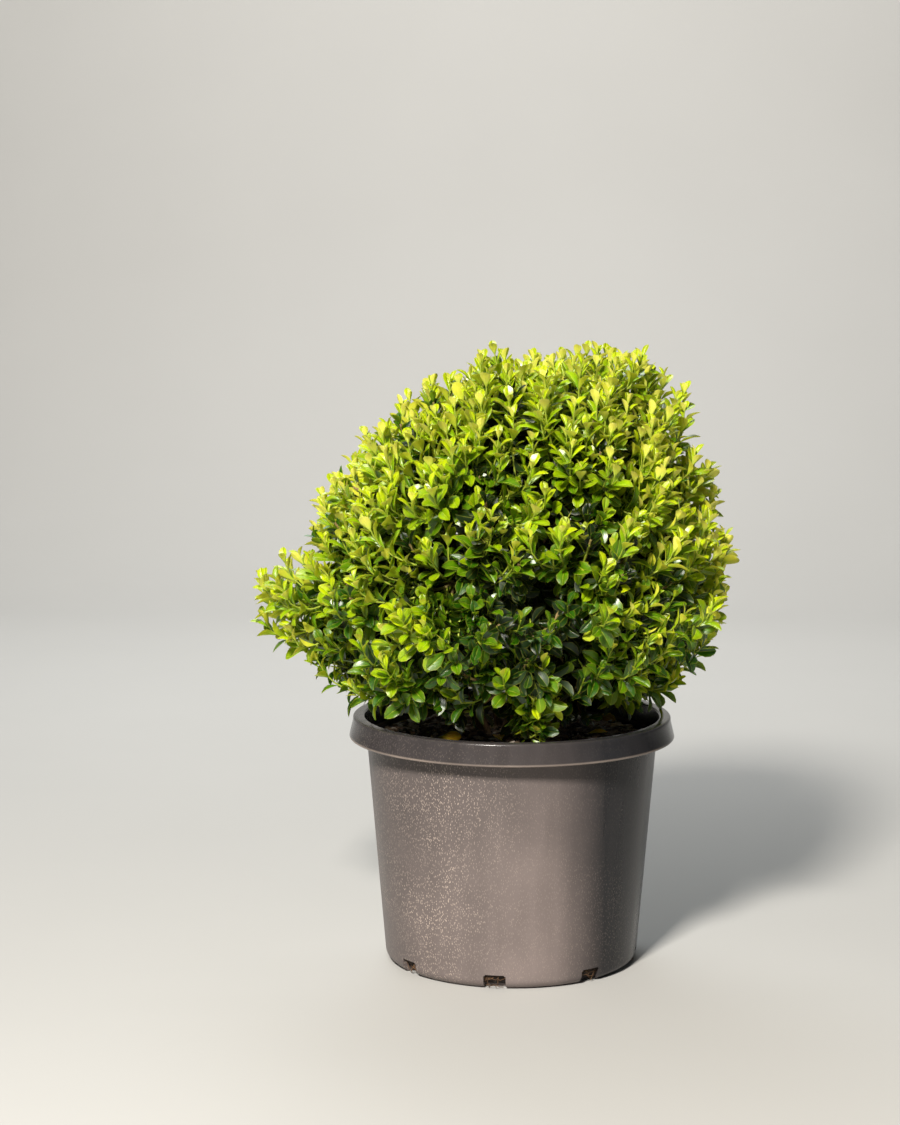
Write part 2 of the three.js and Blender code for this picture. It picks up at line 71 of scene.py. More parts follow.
# Crown outline: height above the ground against radius from the crown's own middle line.
OUTLINE_HEIGHTS = [0.226, 0.242, 0.264, 0.300, 0.345, 0.408, 0.450, 0.489, 0.522, 0.552, 0.564]
OUTLINE_RADII = [0.108, 0.138, 0.164, 0.190, 0.208, 0.200, 0.182, 0.156, 0.132, 0.100, 0.040]
OUTLINE = np.column_stack([OUTLINE_HEIGHTS, OUTLINE_RADII])
LEAN = Sizes(low=0.420, high=0.564, shift=0.026)

# A bump of the outline: where it is, how far it spreads in degrees and in height, and how far it reaches.
Bump = namedtuple("Bump", "azimuth height width depth reach")


def bumps(*rows):
    """Several bumps from their rows of numbers."""
    return [Bump(*row) for row in rows]


# One spray stands out on the left, and the crown is hollow low on the right.
SPRAY = Bump(180, 0.336, 26, 0.046, 0.036)
HOLLOW = Bump(322, 0.236, 24, 0.040, -0.034)

# Masses of foliage, in tiers from the foot up. Azimuth 0 is +X and 90 is +Y.
TIERS = [
    Sizes(count=7, radius=0.098, height=0.284, turn=270, limb="basal", fork=0),
    Sizes(count=7, radius=0.128, height=0.364, turn=296, limb="bough", fork=0.268),
    Sizes(count=6, radius=0.093, height=0.445, turn=248, limb="bough", fork=0.338),
    Sizes(count=1, radius=0.012, height=0.488, turn=20, limb="trunk", fork=0),
]
FORK_STEP = 0.017
STRAY = Sizes(azimuth=5, radius=0.004, height=0.007, seed=3)

# Branchlets, as many as the solids have twigs, and the finer shoots that grow from them.
BRANCHLETS = Sizes(count=142, inset=0.033, jitter=0.5, seed=11, extra=0.012)
SHOOTS = Sizes(
    count=1220, nearest=0.007, deepest=0.055, jitter=0.5, seed=23, length=0.085, climb=1.7, stray=0.75
)
SKIRT = Sizes(count=15, radius=0.100, spread=0.030, height=0.234, rise=0.014)
FINE_SKIRT = Sizes(count=70, radius=0.096, spread=0.040, height=0.236, rise=0.022)
REACH = Sizes(low=1.1, high=0.55, middle=0.020, rim=0.170)
CLIMB = Sizes(start=0.225, end=0.290, low=0.5, upper=0.240, top=0.500, high=0.6)

# Dark gaps between the sprays in front and on the left, each as a bump that reaches in. The last one
# flattens the top all round.
FRONT_GAPS = bumps(
    (259, 0.382, 15, 0.028, 0.080), (277, 0.368, 13, 0.030, 0.084), (262, 0.452, 12, 0.020, 0.062),
    (290, 0.443, 11, 0.020, 0.068), (243, 0.420, 10, 0.022, 0.040), (293, 0.306, 13, 0.030, 0.074),
    (292, 0.270, 9, 0.022, 0.060), (240, 0.262, 8, 0.016, 0.030), (265, 0.266, 8, 0.020, 0.048),
    (228, 0.345, 10, 0.018, 0.036), (309, 0.388, 10, 0.022, 0.042), (206, 0.420, 11, 0.020, 0.040),
    (182, 0.396, 22, 0.032, 0.028), (185, 0.455, 36, 0.030, 0.022), (192, 0.520, 52, 0.036, 0.028),
    (270, 0.575, 400, 0.036, 0.009),
)
BACK_GAPS = Sizes(
    count=17, start=330, sweep=230, low=0.275, high=0.475, seed=53,
    width=9, wider=6, depth=0.018, deeper=0.012, reach=0.040, further=0.024, less_aside=0.9,
)

# Sprays that stand out, those whose leaves get paler tones than their place gives as painted light, and the
# crown's soft billows.
SPRAYS = bumps(
    (181, 0.330, 13, 0.020, 0.014), (208, 0.352, 9, 0.016, 0.010), (330, 0.330, 12, 0.022, 0.008),
    (350, 0.548, 50, 0.030, 0.020),
)
PAINTED_LIGHT_SPRAYS = bumps((244, 0.315, 20, 0.045, 0.42), (276, 0.285, 9, 0.035, 0.34), (298, 0.365, 12, 0.050, 0.26))
BILLOW = Sizes(scale=24.0, reach=0.018, radius=0.2)

# Tips of the shoots that hang to the lip in front: azimuth, radius and height.
TONGUE = [
    (280, 0.120, 0.231), (284, 0.115, 0.238), (277, 0.124, 0.242), (282, 0.132, 0.250), (278, 0.138, 0.264),
    (285, 0.135, 0.266), (281, 0.106, 0.229), (281, 0.146, 0.282), (280, 0.152, 0.300),
]

# Short leafy twigs deep in the crown, which keep light from showing through it.
CORE = Sizes(count=260, nearest=0.060, deepest=0.112, behind=0.5, jitter=40, seed=61)

# The lowest that the foliage hangs: clear of the mix, but for one spray in front that hangs to the lip.
HEM = Sizes(height=0.255, open_height=0.273, tongue=280, tongue_width=11, tongue_drop=0.031)
GOLDEN_ANGLE = math.pi * (3 - math.sqrt(5))
UP = np.array([0.0, 0.0, 1.0])


def seeded(seed):
    """A repeatable stream of numbers from 0 to 1, the same one that the solids were dealt by."""
    state = seed

    def draw():
        nonlocal state
        state = (state + 0x6D2B79F5) & 0xFFFFFFFF
        mixed = ((state ^ (state >> 15)) * (1 | state)) & 0xFFFFFFFF
        mixed ^= (mixed + (((mixed ^ (mixed >> 7)) * (61 | mixed)) & 0xFFFFFFFF)) & 0xFFFFFFFF
        return ((mixed ^ (mixed >> 14)) & 0xFFFFFFFF) / 4294967296

    return draw


def smoothstep(value, low, high):
    """0 below low, 1 above high, and a smooth rise between them."""
    share = min(max((value - low) / (high - low), 0.0), 1.0)
    return share * share * (3 - 2 * share)


def polar(azimuth, radius, height):
    """The point at an azimuth in degrees, a radius and a height."""
    angle = math.radians(azimuth)
    return np.array([radius * math.cos(angle), radius * math.sin(angle), height])


def angle_from(azimuth, other):
    """How far an azimuth lies from another one, from -180 to 180 degrees."""
    return (azimuth - other + 180) % 360 - 180


def unit(vector):
    """A vector of length 1."""
    return vector / np.linalg.norm(vector)


def bent(start, bend, end, count):
    """Points along a curve that leaves start towards bend and reaches end from it."""
    share = np.linspace(0, 1, count)[:, None]
    return (1 - share) ** 2 * start + 2 * share * (1 - share) * bend + share**2 * end


def distances(path):
    """How far along a path each of its points lies."""
    return np.concatenate([[0], np.cumsum(np.linalg.norm(np.diff(path, axis=0), axis=1))])


def shortened(path, length, count):
    """Evenly spread points of a path, up to a length from its start."""
    wanted = np.linspace(0, length, count)
    return np.stack([np.interp(wanted, distances(path), path[:, axis]) for axis in range(3)], axis=1)


def wall_radius(height):
    """The radius of the pot's outer wall at a height."""
    share = (height - POT.foot_corner) / (LEDGE - POT.foot_corner)
    return POT.foot_radius + share * (POT.shoulder_radius - POT.foot_radius)


def inner_radius(height):
    """The radius of the pot's inner wall at a height."""
    return wall_radius(height) - POT.wall


def lean(height):
    """How far the crown's middle line has shifted to the right at a height."""
    return LEAN.shift * smoothstep(height, LEAN.low, LEAN.high)


def swelling(bump, height, azimuth):
    """How far one bump or hollow of the outline moves it."""
    level = (height - bump.height) / bump.depth
    return bump.reach * math.exp(-((angle_from(azimuth, bump.azimuth) / bump.width) ** 2) - level**2)


def most_swelling(bumps, height, azimuth):
    """How far the bump that is felt most moves the outline."""
    return max(swelling(bump, height, azimuth) for bump in bumps)


def crown_radius(height, azimuth):
    """The crown's radius at a height and azimuth."""
    radius = float(np.interp(height, OUTLINE_HEIGHTS, OUTLINE_RADII))
    return radius + swelling(SPRAY, height, azimuth) + swelling(HOLLOW, height, azimuth)


def through_points(controls, share):
    """The point at a share of a smooth curve through its controls, spaced by the root of their distances."""
    spans = len(controls) - 1
    span = min(int(share * spans), spans - 1)
    weight = share * spans - span
    before = controls[span - 1] if span > 0 else 2 * controls[0] - controls[1]
    start, end = controls[span], controls[span + 1]
    after = controls[span + 2] if span + 2 <= spans else 2 * controls[-1] - controls[-2]
    gaps = [math.sqrt(np.linalg.norm(b - a)) for a, b in ((before, start), (start, end), (end, after))]
    leave = (start - before) / gaps[0] - (end - before) / (gaps[0] + gaps[1]) + (end - start) / gaps[1]
    enter = (end - start) / gaps[1] - (after - start) / (gaps[1] + gaps[2]) + (after - end) / gaps[2]
    leave, enter = leave * gaps[1], enter * gaps[1]
    bow = -3 * start + 3 * end - 2 * leave - enter
    turn = 2 * start - 2 * end + leave + enter
    return start + leave * weight + bow * weight**2 + turn * weight**3


def trunk_path(count):
    """The trunk's centreline: it starts upright, then sways gently up to its tip."""
    foot = np.array([0, 0, MIX.flat + GAP])
    middle = (foot + TRUNK_TIP) / 2 + [-TRUNK.sway, TRUNK.sway, 0]
    controls = [foot, foot + TRUNK.upright * UP, middle, TRUNK_TIP]
    return np.array([through_points(controls, share) for share in np.linspace(0, 1, count)])


def trunk_radii(path):
    """The trunk's radius at the points of its centreline, with the flare at its foot."""
    fall = (TRUNK.foot_radius - TRUNK.tip_radius) / TRUNK.rings
    plain = TRUNK.foot_radius - fall * (1 + (TRUNK.rings - 1) * np.linspace(0, 1, len(path)))
    return plain + (TRUNK.flare_radius - plain[0]) * np.exp(-distances(path) / TRUNK.flare)


def mass_sites():
    """The middle of each mass, with its azimuth, and the limb that carries it."""
    draw = seeded(STRAY.seed)
    sites = []
    for tier in TIERS:
        for i in range(tier.count):
            azimuth = tier.turn + 360 * i / tier.count + STRAY.azimuth * (2 * draw() - 1)
            height = tier.height + STRAY.height * (2 * draw() - 1)
            middle = polar(azimuth, tier.radius + STRAY.radius * (2 * draw() - 1), height)
            middle[0] += lean(tier.height)
            shelf = 1 if i == tier.count - 1 and tier.count % 3 == 1 else i % 3
            fork = tier.fork + FORK_STEP * shelf
            sites.append(Sizes(limb=tier.limb, azimuth=azimuth, middle=middle, fork=fork))
    return sites


def limb_path(site, count=60):
    """The centreline of the limb that carries a mass, running on to the mass's middle."""
    if site.limb == "trunk":
        rings = trunk_path(TRUNK.rings)
        half = np.linalg.norm(site.middle - TRUNK_TIP) / 2
        return bent(TRUNK_TIP, TRUNK_TIP + unit(rings[-1] - rings[-2]) * half, site.middle, count)
    if site.limb == "basal":
        root = polar(site.azimuth, BASAL.spread, MIX.flat + GAP)
        bend = root + BASAL.rise * UP
        return bent(root, bend + BASAL.towards * (site.middle - bend), site.middle, count)
    spine = trunk_path(200)
    root = spine[np.argmin(abs(spine[:, 2] - site.fork))]
    bend = (root + site.middle) / 2
    bend[2] = root[2] + BOUGH.rise * (site.middle[2] - root[2])
    return bent(root, bend, site.middle, count)


def outline_tips(count, inset_of, jitter, draw):
    """Where shoots end: spread evenly over the outline by the golden angle, each set in from it."""
    low, high = OUTLINE[:-1], OUTLINE[1:]
    slant = np.hypot(high[:, 0] - low[:, 0], high[:, 1] - low[:, 1])
    areas = (low[:, 1] + high[:, 1]) * slant
    ends = np.cumsum(areas)
    tips = []
    for i in range(count):
        place = ends[-1] * (i + 0.5) / count
        band = min(int(np.searchsorted(ends, place)), len(areas) - 1)
        share = (place - ends[band]) / areas[band]
        height = OUTLINE[band + 1, 0] + share * (OUTLINE[band + 1, 0] - OUTLINE[band, 0])
        azimuth = math.degrees(i * GOLDEN_ANGLE + jitter * (draw() - 0.5))
        inset = inset_of(draw(), height, azimuth)
        radius = max(crown_radius(height, azimuth) - inset, 0.004)
        tip = polar(azimuth, radius, min(height, OUTLINE[-1, 0] - inset))
        tip[0] += lean(height)
        tips.append(tip)
    return tips


def skirt_tips(skirt, jitter, draw):
    """Where the low shoots end that hang round the foot of the crown."""
    tips = []
    for i in range(skirt.count):
        azimuth = 360 * (i + draw() * jitter) / skirt.count
        radius = skirt.radius + skirt.spread * draw() + swelling(HOLLOW, skirt.height, azimuth)
        tips.append(polar(azimuth, radius, skirt.height + skirt.rise * draw()))
    return tips


def shoot_direction(tip):
    """The way a shoot points at its tip: outwards low in the crown, and upright at its top."""
    out = np.array([tip[0] - lean(tip[2]), tip[1], 0])
    spread = smoothstep(np.linalg.norm(out), REACH.middle, REACH.rim)
    high = smoothstep(tip[2], CLIMB.upper, CLIMB.top)
    low = smoothstep(tip[2], CLIMB.start, CLIMB.end)
    out = unit(out) * spread * (REACH.low + (REACH.high - REACH.low) * high)
    return unit(out + UP * (CLIMB.low * low + CLIMB.high * high))


def nearest_mass(sites, tip):
    """The number of the mass whose middle is nearest to a tip."""
    return min(range(len(sites)), key=lambda i: np.linalg.norm(tip - sites[i].middle))


def arched(root, tip, direction, count, extra=0.0):
    """Points from a root to a tip, which the curve reaches in a direction, and a little beyond it."""
    bend = tip - direction * 0.5 * np.linalg.norm(tip - root)
    return bent(root, bend, tip + direction * extra, count)


def branchlet_paths(sites):
    """Each mass's branchlets: from its middle to the tips nearest to it."""
    draw = seeded(BRANCHLETS.seed)

    def inset(chance, *_):
        return BRANCHLETS.inset * (1 + BRANCHLETS.jitter * (chance - 0.4))

    skirt = skirt_tips(SKIRT, BRANCHLETS.jitter, draw)
    spray_radius = crown_radius(SPRAY.height, SPRAY.azimuth) - BRANCHLETS.inset
    tips = outline_tips(BRANCHLETS.count, inset, BRANCHLETS.jitter, draw) + skirt
    tips.append(polar(SPRAY.azimuth, spray_radius, SPRAY.height))
    paths = [[] for _ in sites]
    for tip in tips:
        nearest = nearest_mass(sites, tip)
        path = arched(sites[nearest].middle, tip, shoot_direction(tip), 16, BRANCHLETS.extra)
        paths[nearest].append(path)
    return paths


def crown_gaps():
    """The gaps between the sprays: those in front as the photograph shows them, and the like all round."""
    draw = seeded(BACK_GAPS.seed)
    gaps = list(FRONT_GAPS)
    for i in range(BACK_GAPS.count):
        height = BACK_GAPS.low + (BACK_GAPS.high - BACK_GAPS.low) * ((i * 0.618 + 0.3 * draw()) % 1)
        azimuth = BACK_GAPS.start + BACK_GAPS.sweep * (i + 0.7 * draw()) / BACK_GAPS.count
        width = BACK_GAPS.width + BACK_GAPS.wider * draw()
        depth = BACK_GAPS.depth + BACK_GAPS.deeper * draw()
        reach = BACK_GAPS.reach + BACK_GAPS.further * draw()
        reach = reach * (1 - BACK_GAPS.less_aside * math.cos(math.radians(azimuth)) ** 4)
        gaps.append(Bump(azimuth, height, width, depth, reach))
    return gaps


def gap_at(gaps, height, azimuth):
    """How far in the leaves stand at a place of the outline, for its gaps, sprays and soft billows."""
    billow = noise.noise(Vector(polar(azimuth, BILLOW.radius, height)) * BILLOW.scale)
    hollow = most_swelling(gaps, height, azimuth)
    return BILLOW.reach * billow + hollow - most_swelling(SPRAYS, height, azimuth)


def hem_at(azimuth):
    """The lowest height of the foliage's tips at an azimuth."""
    off = angle_from(azimuth, HEM.tongue)
    tongue = math.exp(-((off / HEM.tongue_width) ** 2))
    beside = math.exp(-((off / (4 * HEM.tongue_width)) ** 2)) - tongue
    return HEM.height + (HEM.open_height - HEM.height) * beside - HEM.tongue_drop * tongue


def azimuth_of(tip):
    """A point's azimuth in degrees about the crown's middle line."""
    return math.degrees(math.atan2(tip[1], tip[0] - lean(tip[2])))


def sideways(tip):
    """How far to the side a point lies, from 0 in front or behind to 1."""
    return abs(math.cos(math.radians(azimuth_of(tip))))


def shoot_paths(sites, branchlets, gaps):
    """The finer shoots: each leaves the branchlet that passes nearest and rises to its own tip."""
    draw = seeded(SHOOTS.seed)
    insets = []

    def inset(chance, height, azimuth):
        depth = SHOOTS.nearest + (SHOOTS.deepest - SHOOTS.nearest) * chance**1.5
        insets.append(depth + gap_at(gaps, height, azimuth))
        return insets[-1]

    def core_inset(chance, height, azimuth):
        depth = CORE.nearest + (CORE.deepest - CORE.nearest) * chance
        insets.append(depth + CORE.behind * max(gap_at(gaps, height, azimuth), 0))
        return insets[-1]

    tips = outline_tips(SHOOTS.count, inset, SHOOTS.jitter, draw)
    tips += skirt_tips(FINE_SKIRT, 1.0, draw)
    insets += [SHOOTS.deepest * 0.6] * FINE_SKIRT.count
    tips += [polar(*place) for place in TONGUE]
    insets += [SHOOTS.nearest] * len(TONGUE)
    tips += outline_tips(CORE.count, core_inset, CORE.jitter, seeded(CORE.seed))
    shoots = []
    for tip, depth in zip(tips, insets):
        if tip[2] < hem_at(azimuth_of(tip)):
            continue
        nearest = nearest_mass(sites, tip)
        carrier = int(np.argmin([np.linalg.norm(path - tip, axis=1).min() for path in branchlets[nearest]]))
        path = branchlets[nearest][carrier]
        wanted = SHOOTS.length * (0.75 + 0.5 * draw())
        step = 1 + int(np.argmin(abs(np.linalg.norm(path[1:-3] - tip, axis=1) - wanted)))
        stray = np.array([draw() - 0.5, draw() - 0.5, 0.6 * (draw() - 0.5)])
        direction = unit(shoot_direction(tip) + SHOOTS.climb * UP + SHOOTS.stray * stray)
        shoot = Sizes(path=arched(path[step], tip, direction, 14), depth=depth, tip=tip, chance=draw())
        shoot.carrier, shoot.step = (nearest, carrier), step
        shoots.append(shoot)
    return shoots


def trimmed(branchlets, shoots):
    """The branchlets that stay over the hem, each as far as the last shoot that leaves it."""
    ends = {}
    for shoot in shoots:
        ends[shoot.carrier] = max(ends.get(shoot.carrier, 0), shoot.step)
    kept = []
    for mass, paths in enumerate(branchlets):
        for order, path in enumerate(paths):
            if path[-1][2] > hem_at(azimuth_of(path[-1])) or (mass, order) in ends:
                kept.append(path[: max(ends.get((mass, order), 0), len(path) // 2) + 2])
    return kept


def linear(red, green, blue):
    """A plain sRGB colour, from 0 to 255, as the linear values that shaders take."""
    parts = [value / 255 for value in (red, green, blue)]
    return (*[v / 12.92 if v <= 0.04045 else ((v + 0.055) / 1.055) ** 2.4 for v in parts], 1.0)


def tinted(colour, *shares):
    """A linear colour with its red, green and blue each multiplied by a share."""
    return (*[min(part * share, 1.0) for part, share in zip(colour, shares)], 1.0)


def give(socket, value):
    """Links a node's input to another node's output, or sets it."""
    if isinstance(value, bpy.types.NodeSocket):
        socket.id_data.links.new(value, socket)
    else:
        socket.default_value = value


def set_inputs(node, **values):
    """Links or sets a node's inputs by their names, with _ for a space."""
    for name, value in values.items():
        give(node.inputs[name.replace("_", " ")], value)


def put(near, kind, *values, **named):
    """A new node in near's tree. Its inputs come in order or by name, and its settings have small letters."""
    node = near.id_data.nodes.new(kind)
    for name in [name for name in named if name.islower()]:
        setattr(node, name, named.pop(name))
    for socket, value in zip([socket for socket in node.inputs if not socket.is_unavailable], values):
        give(socket, value)
    set_inputs(node, **named)
    return node


def got(near, kind, *values, **named):
    """What a new node gives out first."""
    return next(out for out in put(near, kind, *values, **named).outputs if not out.is_unavailable)


def worked(operation, first, *others):
    """What a node works out of numbers or of vectors."""
    kind = "ShaderNodeVectorMath" if first.type == "VECTOR" else "ShaderNodeMath"
    return got(first, kind, first, *others, operation=operation)


def product(first, *others):
    """Numbers or vectors multiplied, from first to last."""
    for other in others:
        first = worked("MULTIPLY", first, other)
    return first


def total(first, *others):
    """Numbers or vectors added up, from first to last."""
    for other in others:
        first = worked("ADD", first, other)
    return first


def scaled(vector, number):
    """A vector times a number."""
    return worked("SCALE", vector, number)


def combined(near, *parts):
    """A vector from its parts."""
    return got(near, "ShaderNodeCombineXYZ", *parts)


def parts_of(vector):
    """The three parts of a vector."""
    return put(vector, "ShaderNodeSeparateXYZ", vector).outputs


def noise_at(place, scale, detail=3.0, roughness=0.5):
    """A soft noise from 0 to 1."""
    return got(place, "ShaderNodeTexNoise", place, scale, detail, roughness)


def ramped(value, low, high, start=0.0, end=1.0):
    """A value's rise from low to high, as a number from start to end."""
    return got(value, "ShaderNodeMapRange", value, low, high, start, end)


def blended(share, first, second):
    """Two colours mixed by a share."""
    return got(share, "ShaderNodeMix", share, first, second, data_type="RGBA")


def relief(height, distance, strength=1.0):
    """The bump that a height gives the surface's shading."""
    return got(height, "ShaderNodeBump", Height=height, Distance=distance, Strength=strength)


def new_material(name):
    """A material with its one Principled shader."""
    material = bpy.data.materials.new(name)
    material.use_nodes = True
    return material, next(node for node in material.node_tree.nodes if node.type == "BSDF_PRINCIPLED")


def object_place(shader, scale=(1, 1, 1)):
    """Where a point of the piece lies in the piece's own coordinates, stretched by scale."""
    place = put(shader, "ShaderNodeTexCoord").outputs["Object"]
    return got(shader, "ShaderNodeMapping", Vector=place, Scale=scale)


# Dried specks on the pot's wall: how fine, how large in their cell, and the share of cells left clean.
SPECKS = [(410.0, 0.16, 0.34), (620.0, 0.25, 0.22), (940.0, 0.33, 0.18)]


def pot_plastic():
    """Black nursery plastic: satin, faintly streaked downwards, with dust and dried splashes, and painted
    light and shade in its dust film.
    """
    material, shader = new_material("pot_black_plastic")
    even = object_place(shader)
    streaks = noise_at(object_place(shader, (75, 75, 4)), 1.0, 4.0)
    clouds = noise_at(even, 14.0, 4.0)
    side, _, height = parts_of(even)
    low = ramped(height, 0.235, 0.02, 0.50, 1.0)
    wall = ramped(height, LEDGE - 0.0004, LEDGE - 0.0016, 0.30, 1.0)
    base = blended(ramped(streaks, 0.3, 0.7), linear(33, 33, 35), linear(41, 40, 42))

    # A film of dust, thin on the rim. It also paints light and shade: it is palest in front, fainter to the
    # left, and gone on the right as a painted shadow.
    dust_and_painted_light = product(ramped(clouds, 0.15, 0.85, 0.55, 1.0), low, wall, ramped(side, 0.084, 0.040))
    dust_and_painted_light = product(dust_and_painted_light, ramped(streaks, 0.2, 0.8, 0.86, 1.0), ramped(side, -0.12, 0.0, 0.62, 1.0))
    dust_and_painted_light_colour = blended(product(dust_and_painted_light, 0.72), base, linear(161, 146, 141))

    # Dried splashes, in patches, most of them on the left.
    splashed = None
    for scale, size, keep in SPECKS:
        cells = put(even, "ShaderNodeTexVoronoi", Vector=object_place(shader, (1, 1, 0.36)), Scale=scale)
        chance = got(even, "ShaderNodeSeparateColor", cells.outputs["Color"])
        near = ramped(cells.outputs["Distance"], size, size * 0.5)
        specks = product(near, ramped(chance, keep, keep + 0.2))
        splashed = worked("MAXIMUM", splashed, specks) if splashed else specks
    patches = ramped(noise_at(even, 11.0), 0.36, 0.58, 0.25, 1.0)
    splashed = product(splashed, patches, low, ramped(side, 0.015, -0.055, 0.16, 1.0), wall)
    colour = blended(splashed, dust_and_painted_light_colour, linear(206, 188, 174))

    # A pale line painted on the bead under the rim band: a painted highlight where the ledge catches the
    # light.
    painted_highlight_bead = product(ramped(height, LEDGE - 0.0016, LEDGE - 0.0002), ramped(clouds, 0.35, 0.62, 0.45, 1.0))
    painted_highlight_bead = product(painted_highlight_bead, ramped(height, LEDGE + 0.0026, LEDGE + 0.0014), 0.34)
    colour = blended(painted_highlight_bead, colour, linear(196, 178, 164))
    smoother = ramped(height, LEDGE - 0.0016, LEDGE - 0.0004, 1.0, 0.66)
    rough = product(ramped(streaks, 0.3, 0.7, 0.24, 0.34), smoother)
    rough = total(rough, product(total(dust_and_painted_light, splashed), 0.22))
    grain = noise_at(even, 900.0, 2.0)
    bumps = relief(total(grain, product(splashed, 2.0)), 0.0002, 0.35)
    set_inputs(shader, Base_Color=colour, Roughness=rough, Specular_IOR_Level=0.26, Normal=bumps)
    return material


def potting_mix_stuff():
    """Dark damp composted bark between the chips."""
    material, shader = new_material("potting_mix_dark")
    crumbs = noise_at(object_place(shader), 420.0, 6.0, 0.65)
    colour = blended(ramped(crumbs, 0.35, 0.7), linear(22, 17, 14), linear(66, 50, 39))
    set_inputs(shader, Base_Color=colour, Roughness=0.92, Normal=relief(crumbs, 0.002))
    return material


def chip_bark(name, dark, light):
    """Weathered bark chips, grained along one way."""
    material, shader = new_material(name)
    grain = noise_at(object_place(shader, (500, 900, 260)), 1.0, 4.0)
    patches = noise_at(object_place(shader), 55.0, 2.0)
    share = total(product(grain, 0.5), product(patches, 0.6))
    colour = blended(ramped(share, 0.35, 0.75), linear(*dark), linear(*light))
    set_inputs(shader, Base_Color=colour, Roughness=0.85, Normal=relief(grain, 0.0006))
    return material


def stem_bark(name, dark, light, green, roughness):
    """Bark with fine furrows along the stem, greener where it is young."""
    material, shader = new_material(name)
    furrows = noise_at(object_place(shader, (900, 900, 120)), 1.0, 5.0, 0.6)
    patches = noise_at(object_place(shader), 38.0)
    colour = blended(ramped(furrows, 0.32, 0.68), linear(*dark), linear(*light))
    colour = blended(ramped(patches, 0.55, 0.8, 0.0, 0.6), colour, linear(*green))
    rough = ramped(furrows, 0.3, 0.7, roughness + 0.1, roughness - 0.1)
    set_inputs(shader, Base_Color=colour, Roughness=rough, Normal=relief(furrows, 0.0006))
    return material


RIB = linear(204, 208, 70)
MARGIN = linear(220, 212, 74)


def leaf_surface(name, blade, pale, roughness, coat=0.0, pillow=0.0005, rib=RIB, margin=MARGIN):
    """One side of a leaf: a waxy blade that swells between its paler rib and its thin pale margin."""
    material, shader = new_material(name)
    spread = got(shader, "ShaderNodeUVMap", uv_map="UVMap")
    out, along, _ = parts_of(spread)
    patches = noise_at(object_place(shader), 75.0, 1.0)
    darker, lighter = tinted(blade, 0.78, 0.78, 0.78), tinted(blade, 1.16, 1.16, 1.16)
    colour = blended(ramped(patches, 0.3, 0.7), darker, lighter)
    colour = blended(ramped(along, 0.10, 0.72, 0.8, 0.0), colour, tinted(blade, 0.42, 0.70, 0.40))
    colour = blended(ramped(out, 0.10, 0.02, 0.0, pale), colour, rib)
    colour = blended(ramped(out, 0.90, 0.99, 0.0, pale), colour, margin)
    veins = put(shader, "ShaderNodeTexWave", Vector=spread, Scale=2.2, Distortion=1.5, Detail=1.0)
    veins.bands_direction = "DIAGONAL"
    swell = product(out, worked("SUBTRACT", out, 1.0), -4.0)
    set_inputs(shader, Base_Color=colour, Roughness=roughness, Specular_IOR_Level=0.3)
    set_inputs(shader, Coat_Weight=coat, Coat_Roughness=0.29, Subsurface_Weight=0.30)
    set_inputs(shader, Subsurface_Radius=(0.7, 1.0, 0.08), Subsurface_Scale=0.0024)
    set_inputs(shader, Normal=relief(total(swell, product(veins.outputs[1], 0.12)), pillow))
    return material


def plain_floor():
    """The studio's pale matt floor and wall."""
    material, shader = new_material("studio_pale")
    mottle = noise_at(object_place(shader), 3.0, 2.0)
    colour = blended(mottle, linear(176, 175, 172), linear(180, 179, 176))
    set_inputs(shader, Base_Color=colour, Roughness=0.8)
    return material


# The leaves' tones from the tips inwards, darkening partly with age and partly as painted shade: upper side,
# under side, how pale rib and margin are, and gloss.
TONES = {
    "tip": (linear(168, 188, 4), linear(242, 236, 96), 0.36, 0.50),
    "young": (linear(128, 158, 2), linear(224, 224, 66), 0.40, 0.50),
    "bright": (linear(73, 110, 1), linear(170, 186, 34), 0.32, 0.48),
    "green": (linear(34, 72, 1), linear(90, 118, 16), 0.26, 0.50),
    "deep": (linear(13, 38, 1), linear(28, 50, 6), 0.18, 0.36),
    # The dark tone is painted shade: near-black leaves for the crown's shaded core.
    "dark": (linear(8, 27, 1), linear(16, 34, 4), 0.14, 0.12),
    "old": (linear(34, 54, 14), linear(46, 62, 20), 0.20, 0.12),
}

# Which tone each band of pairs has, by how much sun the spray gets: paler tones on lit sprays are painted
# light, and darker ones on shaded and core sprays are painted shade. Pairs count from the tip.
BANDS = [(0, 1), (2, 3), (4, 6), (7, 11)]
SPRAY_TONES = {
    "sunny": ("tip", "young", "bright", "green"),
    "fresh": ("young", "bright", "green", "deep"),
    "shade": ("bright", "green", "deep", "old"),
    "inner": ("green", "deep", "deep", "old"),
    "core": ("dark", "dark", "dark", "dark"),
}


def object_from(name, data):
    """An object of the scene that shows a mesh, a curve, a light or a camera."""
    made = bpy.data.objects.new(name, data)
    bpy.context.scene.collection.objects.link(made)
    return made


def mesh_from(name, points, faces):
    """A mesh from its points and faces."""
    mesh = bpy.data.meshes.new(name)
    mesh.from_pydata([tuple(point) for point in points], [], faces)
    mesh.update()
    return mesh


def evaluated_mesh(source, name):
    """The plain mesh that an object's modifiers make."""
    bpy.context.view_layer.update()
    mesh = bpy.data.meshes.new_from_object(source.evaluated_get(bpy.context.evaluated_depsgraph_get()))
    mesh.name = name
    source.modifiers.clear()
    bpy.data.objects.remove(source)
    return mesh


def curves_from(name, paths, radii):
    """Open curves through points, one for each path, with a radius at each point."""
    data = bpy.data.curves.new(name, "CURVE")
    data.dimensions = "3D"
    for path, widths in zip(paths, radii):
        line = data.splines.new("POLY")
        line.points.add(len(path) - 1)
        line.points.foreach_set("co", np.column_stack([path, np.ones(len(path))]).ravel())
        line.points.foreach_set("radius", widths)
    return object_from(name, data)


def label_of(name):
    """The label that a tree's input shows."""
    return name.replace("_", " ").capitalize()


